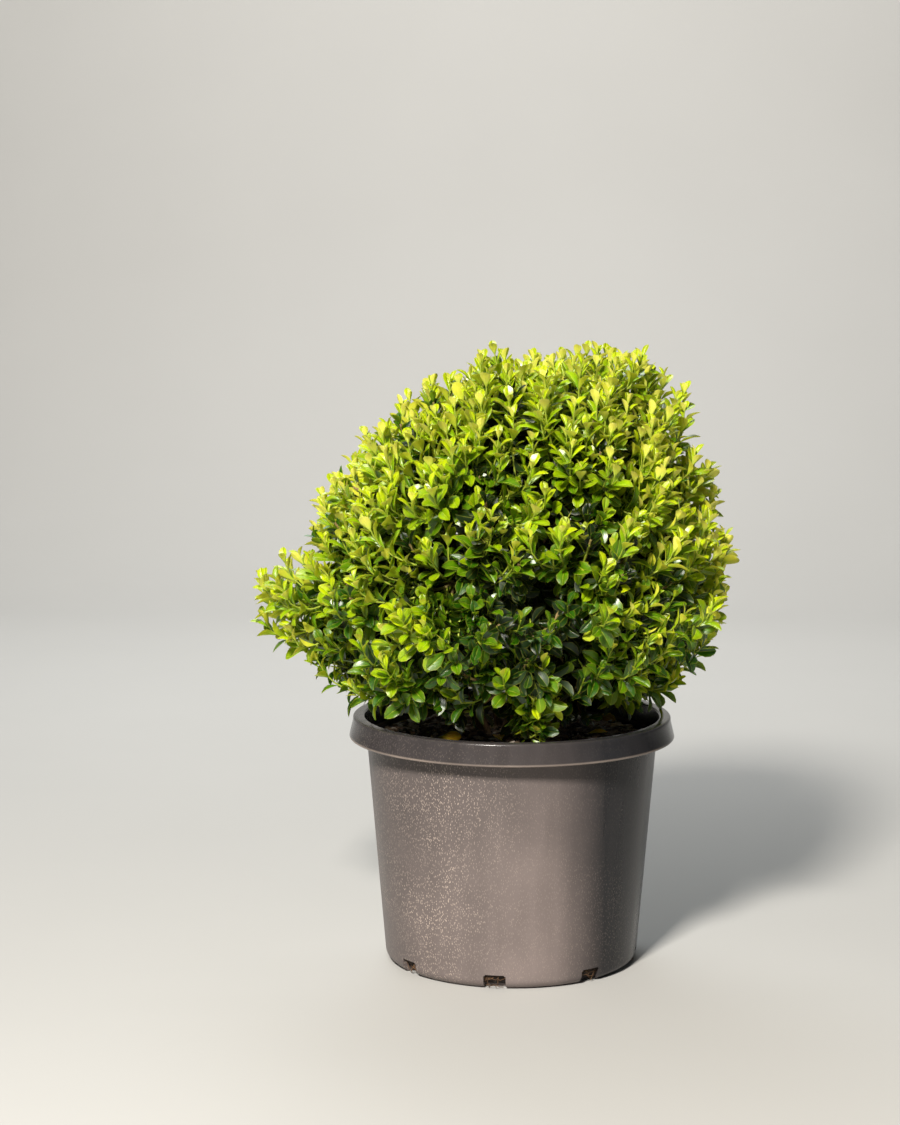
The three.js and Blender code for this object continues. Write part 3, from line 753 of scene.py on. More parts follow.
def new_tree(name, **inputs):
    """A geometry tree and what its inputs give. An input has its first value, or says what it takes."""
    tree = bpy.data.node_groups.new(name, "GeometryNodeTree")
    add_socket = tree.interface.new_socket
    add_socket("Geometry", in_out="INPUT", socket_type="NodeSocketGeometry")
    for label, value in inputs.items():
        kind = value if isinstance(value, str) else {int: "Int", float: "Float"}[type(value)]
        socket = add_socket(label_of(label), in_out="INPUT", socket_type=f"NodeSocket{kind}")
        if value != kind:
            socket.default_value = value
    add_socket("Geometry", in_out="OUTPUT", socket_type="NodeSocketGeometry")
    return tree, Sizes(**dict(zip(["geometry", *inputs], put(tree, "NodeGroupInput").outputs)))


def end_tree(geometry, material, *others):
    """Ends a tree: its copies become plain mesh, with a material on all of it and others on chosen faces."""
    whole = got(geometry, "GeometryNodeRealizeInstances", geometry)
    for chosen, stuff in [(True, material), *others]:
        whole = got(geometry, "GeometryNodeSetMaterial", whole, chosen, stuff)
    put(geometry, "NodeGroupOutput", whole)


def copies_on(points, thing, turn, size, chosen=True):
    """Copies of an object on points, each turned and sized."""
    one = put(points, "GeometryNodeObjectInfo", thing).outputs["Geometry"]
    links = {"Points": points, "Selection": chosen, "Instance": one, "Rotation": turn, "Scale": size}
    return got(points, "GeometryNodeInstanceOnPoints", **links)


def grown(tree, source, name, **inputs):
    """The plain mesh that a geometry tree makes from a source object, which is used up."""
    modifier = source.modifiers.new(name, "NODES")
    modifier.node_group = tree
    sockets = {s.name: s.identifier for s in tree.interface.items_tree if getattr(s, "in_out", "") == "INPUT"}
    for label, value in inputs.items():
        modifier[sockets[label_of(label)]] = value
    mesh = evaluated_mesh(source, name)
    for attribute in [a for a in mesh.attributes if a.name in ("shoot", "pair", "underside", "long")]:
        mesh.attributes.remove(attribute)
    return mesh


def joined(name, meshes):
    """Several meshes with the same materials as one."""
    whole = bmesh.new()
    for mesh in meshes:
        whole.from_mesh(mesh)
    made = bpy.data.meshes.new(name)
    whole.to_mesh(made)
    whole.free()
    for material in meshes[0].materials:
        made.materials.append(material)
    return made


def limb_tree():
    """Round limbs along curves, as thick as each curve's radius says, with furrowed bark."""
    tree, given = new_tree(
        "limbs_along_curves", sides=6, step=0.006, furrow_depth=0.0002, furrow_scale=260.0, bark="Material"
    )
    spaced = got(tree, "GeometryNodeResampleCurve", mode="LENGTH", Curve=given.geometry, Length=given.step)
    ring = got(tree, "GeometryNodeCurvePrimitiveCircle", Resolution=given.sides, Radius=1.0)
    tube = put(tree, "GeometryNodeCurveToMesh", Curve=spaced, Profile_Curve=ring, Fill_Caps=True)
    set_inputs(tube, Scale=got(tree, "GeometryNodeInputRadius"))
    furrow = noise_at(product(got(tree, "GeometryNodeInputPosition"), (1.0, 1.0, 0.16)), given.furrow_scale)
    height = product(worked("SUBTRACT", furrow, 0.5), given.furrow_depth)
    offset = scaled(got(tree, "GeometryNodeInputNormal"), height)
    rough = got(tree, "GeometryNodeSetPosition", Geometry=tube.outputs[0], Offset=offset)
    end_tree(got(tree, "GeometryNodeSetShadeSmooth", Geometry=rough, Shade_Smooth=True), given.bark)
    return tree


def leaf_tree():
    """Crossed pairs of leaves along shoots, closest together and smallest at the tip."""
    tree, given = new_tree(
        "leaves_along_shoots", leaf="Object", upper_side="Material", under_side="Material", seed=1,
        first_pair=0, last_pair=9, internode=0.0088, internode_growth=1.10, tip_gap=0.001,
        leaf_length=0.0215, tip_leaf_share=0.66, grown_by_pair=2.0, stray=0.22, turn_to_light=0.30,
        opening_at_tip=0.24, opening_per_pair=0.14, widest_opening=1.22,
        rim_height=POT.height + 0.002, inside_rim=POT.shoulder_radius - 0.008, mix_height=MIX.flat + 0.004,
    )

    def stored(geometry, name, kind, domain, value):
        node = put(tree, "GeometryNodeStoreNamedAttribute", data_type=kind, domain=domain, Name=name)
        set_inputs(node, Geometry=geometry, Value=value)
        return node.outputs[0]

    def read(name, kind):
        return got(tree, "GeometryNodeInputNamedAttribute", name, data_type=kind)

    def chance(low, high, identity, offset):
        seed = total(given.seed, offset)
        return got(tree, "FunctionNodeRandomValue", low, high, data_type="FLOAT", ID=identity, Seed=seed)

    def strayed(value, offset):
        return total(value, product(chance(-1.0, 1.0, index, offset), given.stray))

    # Each shoot becomes points, one for each pair of leaves, and knows its own number and length.
    index = got(tree, "GeometryNodeInputIndex")
    marked = stored(given.geometry, "shoot", "INT", "CURVE", index)
    marked = stored(marked, "long", "FLOAT", "CURVE", got(tree, "GeometryNodeSplineLength"))
    count = total(worked("SUBTRACT", given.last_pair, given.first_pair), 1.0)
    spaced = got(tree, "GeometryNodeResampleCurve", mode="COUNT", Curve=marked, Count=count)
    order = put(tree, "GeometryNodeSplineParameter").outputs[2]
    spaced = stored(spaced, "pair", "FLOAT", "POINT", total(order, given.first_pair))
    points = got(tree, "GeometryNodeCurveToPoints", spaced, mode="EVALUATED")

    # Pairs that would lie beyond the shoot's end are left out, and each other one gets its two leaves.
    pair, shoot, long = read("pair", "FLOAT"), read("shoot", "INT"), read("long", "FLOAT")
    along = total(given.tip_gap, product(given.internode, worked("POWER", pair, given.internode_growth)))
    beyond = got(tree, "FunctionNodeCompare", along, long, data_type="FLOAT", operation="GREATER_THAN")
    points = got(tree, "GeometryNodeDeleteGeometry", points, beyond)
    twice = put(tree, "GeometryNodeDuplicateElements", domain="POINT", Geometry=points, Amount=2)
    half = put(tree, "GeometryNodeCaptureAttribute", twice.outputs[0], domain="POINT")
    half.capture_items.new("INT", "half")
    set_inputs(half, half=twice.outputs[1])

    # How each leaf is turned round the shoot, opened from it and tipped to the light.
    sample = put(tree, "GeometryNodeSampleCurve", mode="LENGTH", use_all_curves=False)
    set_inputs(sample, Curves=given.geometry, Length=along, Curve_Index=shoot)
    towards = scaled(sample.outputs["Tangent"], -1.0)
    crossed = total(product(pair, math.pi / 2), product(half.outputs["half"], math.pi))
    turn = strayed(total(chance(0.0, 2 * math.pi, shoot, 1), crossed), 2)
    spin = got(tree, "FunctionNodeAxisAngleToRotation", towards, turn)
    out = got(tree, "FunctionNodeRotateVector", sample.outputs["Normal"], spin)
    opening = total(given.opening_at_tip, product(pair, given.opening_per_pair))
    opening = strayed(worked("MINIMUM", opening, given.widest_opening), 3)
    cosine, sine = worked("COSINE", opening), worked("SINE", opening)
    blade = total(scaled(towards, cosine), scaled(out, sine))
    face = worked("SUBTRACT", scaled(towards, sine), scaled(out, cosine))
    face = total(face, combined(tree, 0.0, 0.0, given.turn_to_light))
    turned = got(tree, "FunctionNodeAxesToRotation", blade, face, primary_axis="Y", secondary_axis="Z")

    # How large it is. A leaf that would cut the pot's rim or the mix is left out.
    root = sample.outputs["Position"]
    share = ramped(pair, 0.0, given.grown_by_pair, given.tip_leaf_share, 1.0)
    length = product(given.leaf_length, share, chance(0.80, 1.14, index, 4))
    width = product(length, chance(0.90, 1.18, index, 5))
    cup = product(length, chance(0.45, 1.35, index, 6))
    end_x, end_y, end_z = parts_of(total(root, scaled(blade, length)))
    off = worked("SQRT", total(product(end_x, end_x), product(end_y, end_y)))
    over_mix = worked("GREATER_THAN", end_z, given.mix_height)
    within = product(over_mix, worked("LESS_THAN", off, given.inside_rim))
    clear = worked("MAXIMUM", worked("GREATER_THAN", end_z, given.rim_height), within)
    placed = got(tree, "GeometryNodeSetPosition", Geometry=half.outputs[0], Position=root)
    leaves = copies_on(placed, given.leaf, turned, combined(tree, width, length, cup), clear)
    end_tree(leaves, given.upper_side, (read("underside", "BOOLEAN"), given.under_side))
    return tree


def litter_tree():
    """Small pieces lying on a surface, turned and sized at random."""
    tree, given = new_tree(
        "litter_on_surface", piece="Object", stuff="Material", seed=1,
        per_square_metre=20000.0, smallest=0.004, largest=0.012, tilt=0.5, lift=0.0008,
    )
    points = put(tree, "GeometryNodeDistributePointsOnFaces", distribute_method="RANDOM", Seed=given.seed)
    set_inputs(points, Mesh=given.geometry, Density=given.per_square_metre)

    def chance(kind, low, high):
        return got(tree, "FunctionNodeRandomValue", low, high, data_type=kind, Seed=given.seed)

    back = product(given.tilt, -1.0)
    least, most = combined(tree, back, back, 0.0), combined(tree, given.tilt, given.tilt, 2 * math.pi)
    raised = combined(tree, 0.0, 0.0, given.lift)
    lifted = got(tree, "GeometryNodeSetPosition", Geometry=points.outputs[0], Offset=raised)
    turn, size = chance("FLOAT_VECTOR", least, most), chance("FLOAT", given.smallest, given.largest)
    end_tree(copies_on(lifted, given.piece, turn, size), given.stuff)
    return tree


def around(count):
    """The cosine and sine of evenly spread angles round a circle."""
    angles = [2 * math.pi * k / count for k in range(count)]
    return [(math.cos(angle), math.sin(angle)) for angle in angles]


def ring_faces(rings, flipped=False):
    """The faces between each ring of points and the next. A ring may be one point, where they close."""
    faces = []
    for ring, upper in zip(rings, rings[1:]):
        for k in range(max(len(ring), len(upper))):
            corners = [ring[k % len(ring)], ring[(k + 1) % len(ring)]]
            corners += [upper[(k + 1) % len(upper)], upper[k % len(upper)]]
            if flipped:
                corners[1:] = corners[:0:-1]
            faces.append(list(dict.fromkeys(corners)))
    return faces


def lathe(name, profile, segments, lift=None, flipped=False):
    """A body turned about Z from [radius, height] points, closed where they lie on the axis."""
    points, rings = [], []
    for radius, height in profile:
        turns = around(segments) if radius else [(0, 0)]
        rings.append(range(len(points), len(points) + len(turns)))
        points += [(radius * x, radius * y, height) for x, y in turns]
    if lift:
        points = [lift(*point) for point in points]
    mesh = mesh_from(name, points, ring_faces(rings, flipped))
    mesh.shade_smooth()
    return mesh


def rounded(centre, radius, start, end, steps):
    """Points of an arc in a profile, between two angles in degrees."""
    angles = np.radians(np.linspace(start, end, steps))
    return [(centre[0] + radius * math.cos(a), centre[1] + radius * math.sin(a)) for a in angles]


def slot_cutters():
    """Rounded blocks that cut the drainage slots, an object."""
    deep = 2 * POT.foot_corner
    blocks = bmesh.new()
    for i in range(POT.slots):
        angle = math.radians(POT.slot_turn + 360 * i / POT.slots)
        cosine, sine = math.cos(angle), math.sin(angle)
        for vertex in bmesh.ops.create_cube(blocks, size=1.0)["verts"]:
            x = vertex.co.x * POT.slot_width
            y = vertex.co.y * deep - (POT.foot_radius - 0.2 * deep)
            height = vertex.co.z * 2 * POT.slot_height
            vertex.co = Vector((x * cosine - y * sine, x * sine + y * cosine, height))
    upper = [edge for edge in blocks.edges if max(vertex.co.z for vertex in edge.verts) > 0]
    bmesh.ops.bevel(blocks, geom=upper, offset=0.0012, segments=2, affect="EDGES")
    bmesh.ops.recalc_face_normals(blocks, faces=blocks.faces)
    mesh = bpy.data.meshes.new("slot_cutters")
    blocks.to_mesh(mesh)
    blocks.free()
    return object_from("slot_cutters", mesh)


def turned_pot():
    """The pot's tub, with its folded rim and the drainage slots cut round its foot."""
    under_rim = POT.height - POT.rim_top
    bead, fold, lip, bulge = 0.0007, 0.0012, 0.0022, 0.0011
    profile = [(0, 0), (INNER_FOOT * 0.5, 0)]
    profile += rounded((INNER_FOOT, POT.foot_corner), POT.foot_corner, -90, 0, 9)
    profile += [(wall_radius(height), height) for height in np.linspace(0.03, LEDGE, 7)]
    profile += [(wall_radius(under_rim - 0.002), under_rim - 0.002)]
    profile += [(wall_radius(under_rim) + 0.002, under_rim), (POT.lip_radius - POT.rim_top, under_rim)]
    profile += [(POT.rim_radius - POT.wall, LEDGE + bead)]
    profile += rounded((POT.rim_radius - fold, LEDGE + fold), fold, -130, 20, 7)
    profile += [(POT.rim_radius - bead, LEDGE + 0.0042), (POT.lip_radius + bulge, POT.height - lip - 0.0022)]
    profile += rounded((POT.lip_radius - lip + bulge, POT.height - lip), lip, 12, 90, 7)
    profile += rounded((wall_radius(POT.height) + lip, POT.height - lip), lip, 90, 180, 7)
    profile += [(inner_radius(height), height) for height in np.linspace(under_rim - 0.004, 0.030, 8)]
    profile += [(inner_radius(POT.foot_corner), POT.foot_corner + POT.wall)]
    profile += [(INNER_FOOT, POT.floor), (INNER_FOOT * 0.5, POT.floor), (0, POT.floor)]
    pot = object_from("pot_shell", lathe("pot_shell", profile, POT.segments))
    cutters = slot_cutters()
    cut = pot.modifiers.new("slots", "BOOLEAN")
    cut.operation, cut.object, cut.solver = "DIFFERENCE", cutters, "EXACT"
    shell = evaluated_mesh(pot, "nursery_pot")
    bpy.data.objects.remove(cutters)
    shell.set_sharp_from_angle(angle=math.radians(38))
    return shell


MIX_RIM = inner_radius(MIX.edge) - GAP


def mix_level(radius):
    """The mean height of the potting mix's top at a radius."""
    share = min(max((radius - MIX.flat_radius) / (MIX_RIM - MIX.flat_radius), 0), 1)
    return MIX.flat + (MIX.edge - MIX.flat) * share


def mix_body():
    """The potting mix, with a lumpy top."""
    profile = [(0, POT.floor + GAP), (INNER_FOOT - GAP, POT.floor + GAP)]
    levels = np.linspace(POT.foot_corner + POT.wall, MIX.edge - 0.006, 14)
    profile += [(inner_radius(level) - GAP, level + GAP) for level in levels]
    profile += [(MIX_RIM - 0.0006, MIX.edge - 0.002)]
    profile += [(radius, mix_level(radius)) for radius in np.linspace(MIX_RIM - 0.003, 0.004, 34)]
    profile += [(0, MIX.flat)]

    def lump(x, y, height):
        if height < MIX.edge - 0.0021:
            return (x, y, height)
        bump = noise.noise(Vector((x, y, 0)) * 90) * 0.0016 + noise.noise(Vector((x, y, 3)) * 260) * 0.0008
        return (x, y, height + bump - 0.0012)

    return lathe("potting_mix_body", profile, 120, lump)


def mix_top():
    """The part of the potting mix's top that litter lies on: a disc."""
    radii = np.linspace(0.004, inner_radius(MIX.edge) - 0.008, 10)
    profile = [(radius, mix_level(radius)) for radius in radii]
    return object_from("mix_top", lathe("mix_top", profile, 48, flipped=True))


def chip_shape(seed):
    """One bark chip of unit length: a split shard with ragged ends."""
    draw = seeded(seed)
    sides = 5
    points = []
    for along, share in ((-0.5, 0.55), (-0.15, 1.0), (0.2, 0.9), (0.5, 0.4)):
        for x, y in around(sides):
            wide = share * (0.20 + 0.07 * draw())
            thin = share * (0.08 + 0.05 * draw())
            points.append((along + 0.10 * (draw() - 0.5), wide * x, thin * y))
    rings = [range(first, first + sides) for first in range(0, len(points), sides)]
    faces = [*ring_faces(rings), rings[0][::-1], rings[-1]]
    mesh = mesh_from("bark_chip", points, faces)
    shard = bmesh.new()
    shard.from_mesh(mesh)
    bmesh.ops.recalc_face_normals(shard, faces=shard.faces)
    shard.to_mesh(mesh)
    shard.free()
    return mesh


# A leaf's outline on one side: how far along, how far out, both as shares of its length.
YOUNG_SIDE = [(0.09, 0.030), (0.34, 0.128), (0.61, 0.232), (0.82, 0.226), (0.95, 0.122)]
GROWN_SIDE = [(0.11, 0.027), (0.33, 0.134), (0.60, 0.240), (0.81, 0.232), (0.955, 0.122)]
YOUNG_LEAF = Sizes(side=YOUNG_SIDE, fold=0.38, curl=0.28)
GROWN_LEAF = Sizes(side=GROWN_SIDE, fold=0.40, curl=0.34)

# Its rib: how far along each point, and how far the keel under it stands down.
LEAF_RIB = [(0.36, 0.030), (0.70, 0.020)]


def leaf_shape(name, leaf):
    """One leaf of unit length along +Y, its face up: folded up along its rib and bent back to its tip."""

    def drop(along):
        return -leaf.curl * along**2.6

    def rim(side):
        return [(side * out, along, leaf.fold * out + drop(along)) for along, out in leaf.side]

    rib = [(0, along, drop(along)) for along, _ in LEAF_RIB]
    keel = [(0, along, drop(along) - thick) for along, thick in LEAF_RIB]
    points = [(0, 0, 0), (0, 1, drop(1.0)), *rib, *keel, *rim(1), *rim(-1)]
    faces, under = [], []
    for first, second, is_under in ((2, 3, False), (4, 5, True)):
        for start, side in ((6, 1), (11, -1)):
            edge = [0, *range(start, start + 5), 1]
            strips = [(edge[k], edge[k + 1], first if k < 3 else second) for k in range(6)]
            strips.insert(3, (edge[3], second, first))
            for strip in strips:
                faces.append(strip if (side > 0) != is_under else strip[::-1])
                under.append(is_under)
    mesh = mesh_from(name, points, faces)
    mesh.shade_smooth()
    spread = mesh.uv_layers.new(name="UVMap")
    for loop in mesh.loops:
        vertex = loop.vertex_index
        spread.data[loop.index].uv = (1.0 if vertex >= 6 else 0.0, points[vertex][1])
    mesh.attributes.new("underside", "BOOLEAN", "FACE").data.foreach_set("value", under)
    rims = {0, 1, *range(6, 16)}
    creases = [{0, 2}, {2, 3}, {1, 3}, {0, 4}, {4, 5}, {1, 5}]
    edges = [set(edge.vertices) for edge in mesh.edges]
    sharp = [edge <= rims or edge in creases for edge in edges]
    mesh.attributes.new("sharp_edge", "BOOLEAN", "EDGE").data.foreach_set("value", sharp)
    return mesh


# The camera of the photograph.
CAMERA = Sizes(place=(0, -2.238, 0.646), tilt=90 - 7.07, turn=1.46, lens=78.6)

# Lights: name, place, what it shines at, size, power and colour.
LIGHTS = [
    ("key", (-0.68, -2.22, 2.02), (0, 0, 0.32), 0.45, 174, (1.0, 0.955, 0.885)),
    ("fill", (2.2, -1.0, 1.1), (0, 0, 0.25), 1.8, 2, (0.90, 0.95, 1.0)),
    ("back", (-0.5, 1.7, 2.2), (0, 0, 0.40), 1.3, 20, (0.84, 0.93, 1.0)),
    ("wall_wash", (0, 1.5, 2.6), (0, 3.4, 1.0), 1.6, 66, (1.0, 0.99, 0.97)),
]
STUDIO = Sizes(front=-5.0, side=5.0, back=3.4, bend=1.2, top=5.0, below=0.0004)


def set_camera():
    """The photograph's camera."""
    data = bpy.data.cameras.new("camera")
    data.lens = CAMERA.lens
    data.sensor_width = 36
    made = object_from("camera", data)
    made.location = CAMERA.place
    made.rotation_euler = (math.radians(CAMERA.tilt), 0, math.radians(CAMERA.turn))
    bpy.context.scene.camera = made


def set_studio():
    """A pale floor that curves up into a wall, and soft light from the front, a little to the left."""
    bend = STUDIO.bend
    section = [(STUDIO.front, 0.0), (STUDIO.back - bend, 0.0)]
    for angle in np.linspace(0.1, math.pi / 2, 12):
        section.append((STUDIO.back - bend + bend * math.sin(angle), bend - bend * math.cos(angle)))
    section += [(STUDIO.back, STUDIO.top)]
    points = [(side * STUDIO.side, y, z - STUDIO.below) for y, z in section for side in (-1, 1)]
    faces = [(2 * i, 2 * i + 1, 2 * i + 3, 2 * i + 2) for i in range(len(section) - 1)]
    mesh = mesh_from("studio_floor", points, faces)
    mesh.shade_smooth()
    mesh.materials.append(plain_floor())
    floor = object_from("studio_floor", mesh)
    for name, place, aim, size, power, colour in LIGHTS:
        data = bpy.data.lights.new(name, "AREA")
        data.shape, data.size, data.energy, data.color = "SQUARE", size, power, colour
        made = object_from(name, data)
        made.location = place
        made.rotation_euler = (Vector(aim) - Vector(place)).to_track_quat("-Z", "Y").to_euler()
    world = bpy.data.worlds.new("studio")
    world.use_nodes = True
    sky = world.node_tree.nodes["Background"]
    sky.inputs[0].default_value = (0.84, 0.93, 1.0, 1.0)
    sky.inputs[1].default_value = 0.04
    bpy.context.scene.world = world
    bpy.context.scene.view_settings.view_transform = "Standard"


def piece(name, mesh, slot, *nodes):
    """A finished piece that rides on the body and stands for its nodes."""
    made = object_from(name, mesh)
    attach(made, "root")
    if nodes:
        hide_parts(*nodes)


set_camera()
set_studio()

nodes = sorted(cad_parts)
masses = [name for name in nodes if name.startswith("foliage_")]

# Pot and potting mix.
pot_mesh = turned_pot()
pot_mesh.materials.append(pot_plastic())
piece("nursery_pot", pot_mesh, "pot", "pot")
mix_mesh = mix_body()
mix_mesh.materials.append(potting_mix_stuff())
piece("potting_mix_body", mix_mesh, "potting_mix", "potting_mix")

# Bark chips on the mix: name, seed, how many to a square metre, smallest and largest, dark and light colour.
CHIPS = [
    ("chip_brown", 5, 11000.0, 0.007, 0.016, (92, 73, 58), (172, 146, 118)),
    ("chip_black", 9, 11000.0, 0.004, 0.011, (50, 43, 38), (112, 96, 83)),
    ("chip_grey", 14, 4000.0, 0.006, 0.015, (150, 138, 126), (216, 204, 188)),
]
litter = litter_tree()
for name, seed, many, small, large, dark, light in CHIPS:
    chip = object_from("bark_chip", chip_shape(seed))
    inputs = {"piece": chip, "per_square_metre": many, "smallest": small, "largest": large, "seed": seed}
    mesh = grown(litter, mix_top(), name, stuff=chip_bark(name, dark, light), **inputs)
    bpy.data.objects.remove(chip)
    piece(f"mix_{name}s", mesh, "potting_mix", "potting_mix")

# Fallen leaves on the mix: azimuth, radius, how far turned, lying face up or down, how far propped up.
FALLEN = [
    (216, 0.083, 278, 1, 50), (43, 0.106, 262, -1, 40), (318, 0.098, 120, -1, 8),
    (338, 0.074, 300, 1, 12), (12, 0.112, 75, -1, 5), (262, 0.066, 10, 1, 10),
    (190, 0.116, 255, 1, 14), (128, 0.100, 330, -1, 6), (88, 0.082, 150, 1, 10),
]
FALLEN_LEAF = Sizes(length=0.022, lift=0.0052, fold=0.16, curl=0.10)
fallen_stuff = [
    leaf_surface("leaf_fallen_yellow", linear(238, 186, 46), 0.3, 0.5, rib=linear(238, 200, 92), margin=RIB),
    leaf_surface("leaf_fallen_tan", linear(168, 122, 62), 0.3, 0.6, rib=linear(196, 158, 96), margin=RIB),
]
fallen = []
for azimuth, radius, turn, face, prop in FALLEN:
    lying = Sizes(side=GROWN_SIDE, fold=FALLEN_LEAF.fold * face, curl=FALLEN_LEAF.curl * face)
    leaf = leaf_shape("fallen_leaf", lying)
    leaf.transform(Matrix.Scale(FALLEN_LEAF.length, 4))
    if face < 0:
        leaf.transform(Matrix.Rotation(math.pi, 4, "Y"))
    leaf.transform(Matrix.Rotation(math.radians(turn), 4, "Z"))
    leaf.transform(Matrix.Rotation(math.radians(prop), 4, "X"))
    leaf.transform(Matrix.Translation(polar(azimuth, radius, mix_level(radius) + FALLEN_LEAF.lift)))
    for stuff in fallen_stuff:
        leaf.materials.append(stuff)
    under = [int(value.value) for value in leaf.attributes["underside"].data]
    leaf.polygons.foreach_set("material_index", under)
    leaf.attributes.remove(leaf.attributes["underside"])
    fallen.append(leaf)
piece("fallen_leaves", joined("fallen_leaves", fallen), "foliage")

# Trunk, boughs and basal stems.
sites = mass_sites()
limbs = limb_tree()
old_bark = stem_bark("bark_old", (88, 64, 46), (168, 132, 98), (124, 116, 66), 0.8)
young_bark = stem_bark("bark_young", (104, 84, 48), (160, 136, 84), (116, 124, 48), 0.6)
green_stem = stem_bark("stem_green", (122, 140, 34), (164, 176, 56), (140, 160, 40), 0.45)
fibre_bark = stem_bark("root_fibre", (52, 36, 22), (112, 80, 50), (86, 62, 40), 0.8)

# Root fibres that show in the pot's slots.
FIBRES = Sizes(each=8, radius=0.00028, long=0.015, seed=31, spread=0.014, lowest=0.0008, bend=0.0016)


def fibre_paths():
    """The centrelines of the fibres: short wavy strands that lie against the inner wall in each slot."""
    draw = seeded(FIBRES.seed)
    strands = []
    for slot in range(POT.slots):
        middle = POT.slot_turn + 360 * slot / POT.slots - 90
        for _ in range(FIBRES.each):
            lie = math.radians(70 * (draw() - 0.5) + (0 if draw() < 0.6 else 90))
            half = FIBRES.long * (0.5 + 0.5 * draw()) / 2
            across, level = FIBRES.spread * (draw() - 0.5), 0.0015 + 0.010 * draw()
            radius = inner_radius(POT.foot_corner) + 0.0004 * draw()
            strand = []
            for share in np.linspace(-1, 1, 7):
                aside = across + share * half * math.cos(lie)
                height = level + share * half * math.sin(lie) + FIBRES.bend * math.sin(3 * share + 6 * draw())
                height = min(max(height, FIBRES.lowest), POT.slot_height - 0.0006)
                azimuth = middle + math.degrees(aside / radius)
                strand.append(polar(azimuth, radius - 0.0012 * share**2, height))
            strands.append(np.array(strand))
    return strands


def tapers(paths, root_radius, tip_radius):
    """The radii along paths that taper evenly."""
    return [np.linspace(root_radius, tip_radius, len(path)) for path in paths]


# How each kind of limb is made: its sides, the space between its rings, and its furrows' depth and fineness.
LIMBS = {
    "slot_fibres": (4, 0.003, 0.0, 260.0),
    "trunk_bark": (20, 0.003, 0.0011, 420.0),
    "bough_bark": (12, 0.004, 0.0007, 520.0),
    "basal_stem_bark": (12, 0.004, 0.0007, 520.0),
    "twigs": (6, 0.008, 0.0003, 300.0),
    "green_shoots": (5, 0.012, 0.0, 260.0),
}


def limb_piece(name, slot, bark, paths, radii, *nodes):
    """A piece of round limbs along paths, which stands for its nodes."""
    inputs = dict(zip(("sides", "step", "furrow_depth", "furrow_scale"), LIMBS[name]))
    piece(name, grown(limbs, curves_from(name, paths, radii), name, bark=bark, **inputs), slot, *nodes)


strands = fibre_paths()
limb_piece("slot_fibres", "potting_mix", fibre_bark, strands, tapers(strands, FIBRES.radius, FIBRES.radius))
spine = trunk_path(70)
limb_piece("trunk_bark", "bark", old_bark, [spine], [trunk_radii(spine)], "trunk")
for limb, ends, prefix in (("bough", BOUGH, "bough_"), ("basal", BASAL, "basal_stem_")):
    paths = [limb_path(site) for site in sites if site.limb == limb]
    radii = tapers(paths, ends.root_radius, ends.tip_radius)
    stems = [name for name in nodes if name.startswith(prefix)]
    limb_piece(f"{prefix}bark", "bark", old_bark, paths, radii, *stems)

# Branchlets and shoots.
branchlets = branchlet_paths(sites)
shoots = shoot_paths(sites, branchlets, crown_gaps())
branchlets = trimmed(branchlets, shoots)
top_stem = limb_path(sites[-1], 16)
radii = tapers([top_stem], TRUNK.tip_radius, TWIG.root_radius)
radii += tapers(branchlets, TWIG.root_radius, TWIG.tip_radius)
limb_piece("twigs", "foliage", young_bark, [top_stem, *branchlets], radii, *masses)
paths = [shoot.path for shoot in shoots]
radii = tapers(paths, SHOOT.root_radius, SHOOT.tip_radius)
limb_piece("green_shoots", "foliage", green_stem, paths, radii, *masses)
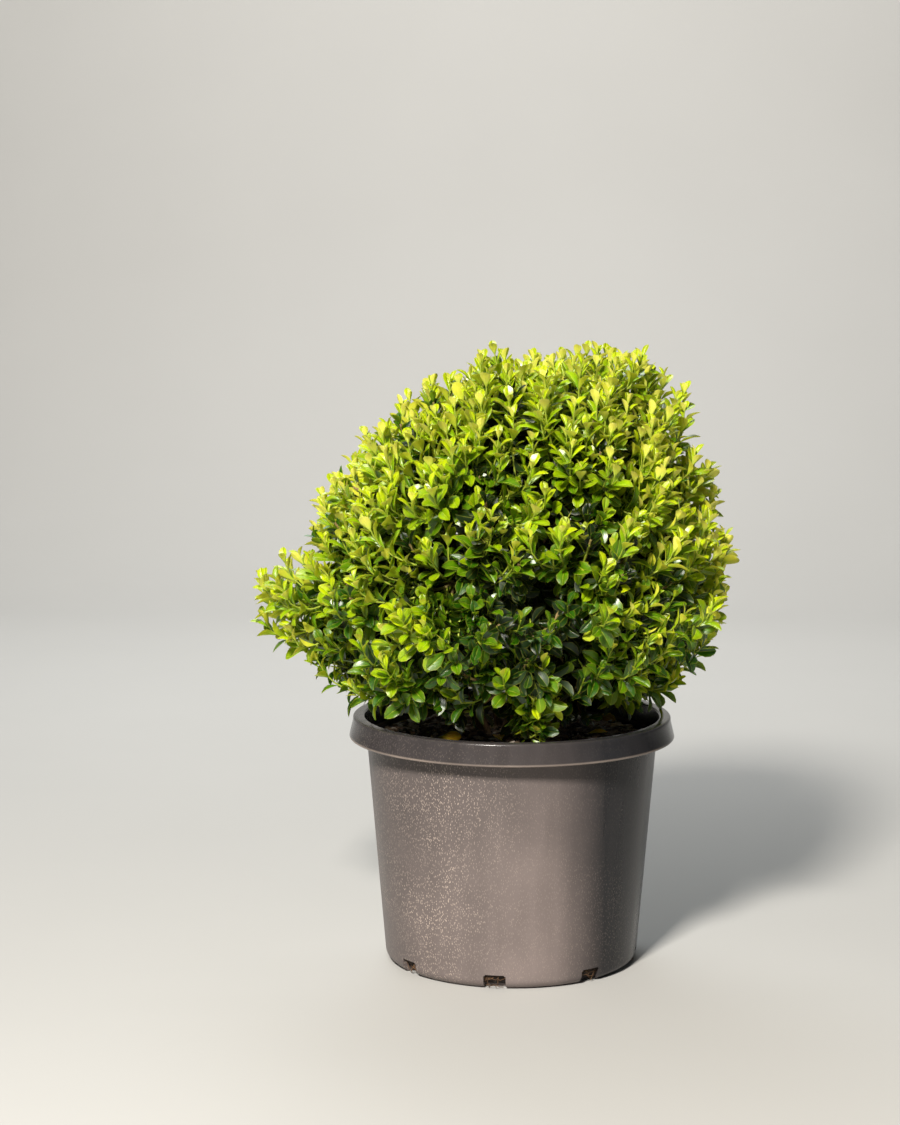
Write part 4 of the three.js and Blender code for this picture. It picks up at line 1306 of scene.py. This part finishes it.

# Leaves, dealt out by spray: how much sun a spray gets says which tones its bands of pairs have, as painted
# light and painted shade.
SUN = Sizes(high=0.85, shallow=0.45, chance=0.55, side=0.20, sunny=1.03, fresh=0.74, shade=0.42)
SUN_RISE = (0.26, 0.50)
SIDE_RISE = (0.25, 0.33)
LEAF_LENGTH = {"sunny": 0.0216, "fresh": 0.0213, "shade": 0.0209, "inner": 0.0206, "core": 0.0214}
LEAF_REACH = 0.105
LEAFY_SHARE = 0.9


def sun_on(shoot):
    """How a spray is lit, by how high, how shallow and how far aside it lies in the crown, and by chance."""
    if shoot.depth > CORE.nearest:
        return "core"
    height = shoot.tip[2]
    high = smoothstep(height, *SUN_RISE)
    shallow = 1 - shoot.depth / SHOOTS.deepest
    side = sideways(shoot.tip) ** 2 * smoothstep(height, *SIDE_RISE)
    # Sprays in these bumps score higher and get paler tones: painted light.
    painted_light = shallow * most_swelling(PAINTED_LIGHT_SPRAYS, height, azimuth_of(shoot.tip))
    score = SUN.high * high + SUN.shallow * shallow + SUN.side * side + SUN.chance * shoot.chance + painted_light
    return next((kind for kind in ("sunny", "fresh", "shade") if score > getattr(SUN, kind)), "inner")


leafy = {kind: [] for kind in SPRAY_TONES}
for shoot in shoots:
    length = distances(shoot.path[::-1])[-1] * LEAFY_SHARE
    leafy[sun_on(shoot)].append(shortened(shoot.path[::-1], min(LEAF_REACH, length), 14))
for path in branchlets:
    kind = "inner" if sideways(path[-1]) > 0.8 else "core"
    leafy[kind].append(shortened(path[::-1], distances(path)[-1] * LEAFY_SHARE, 12))

leaves = leaf_tree()
for tone, (upper, under, pale, gloss) in TONES.items():
    shape = YOUNG_LEAF if tone in ("tip", "young") else GROWN_LEAF
    top = leaf_surface(f"leaf_{tone}_upper", upper, pale, 0.42 - 0.20 * gloss, gloss)
    below = leaf_surface(f"leaf_{tone}_under", under, pale, 0.45, 0.0, 0.0002)
    meshes = []
    for order, (kind, tones) in enumerate(SPRAY_TONES.items()):
        for first, last in [band for band, shown in zip(BANDS, tones) if shown == tone]:
            blade = object_from("leaf", leaf_shape("leaf", shape))
            inputs = {"leaf": blade, "upper_side": top, "under_side": below, "seed": 40 + order}
            inputs.update(first_pair=first, last_pair=last, leaf_length=LEAF_LENGTH[kind])
            lines = curves_from("leaf_lines", leafy[kind], [np.ones(len(path)) for path in leafy[kind]])
            meshes.append(grown(leaves, lines, f"leaves_{tone}", **inputs))
            bpy.data.objects.remove(blade)
    piece(f"leaves_{tone}", joined(f"leaves_{tone}", meshes), "foliage", *masses)
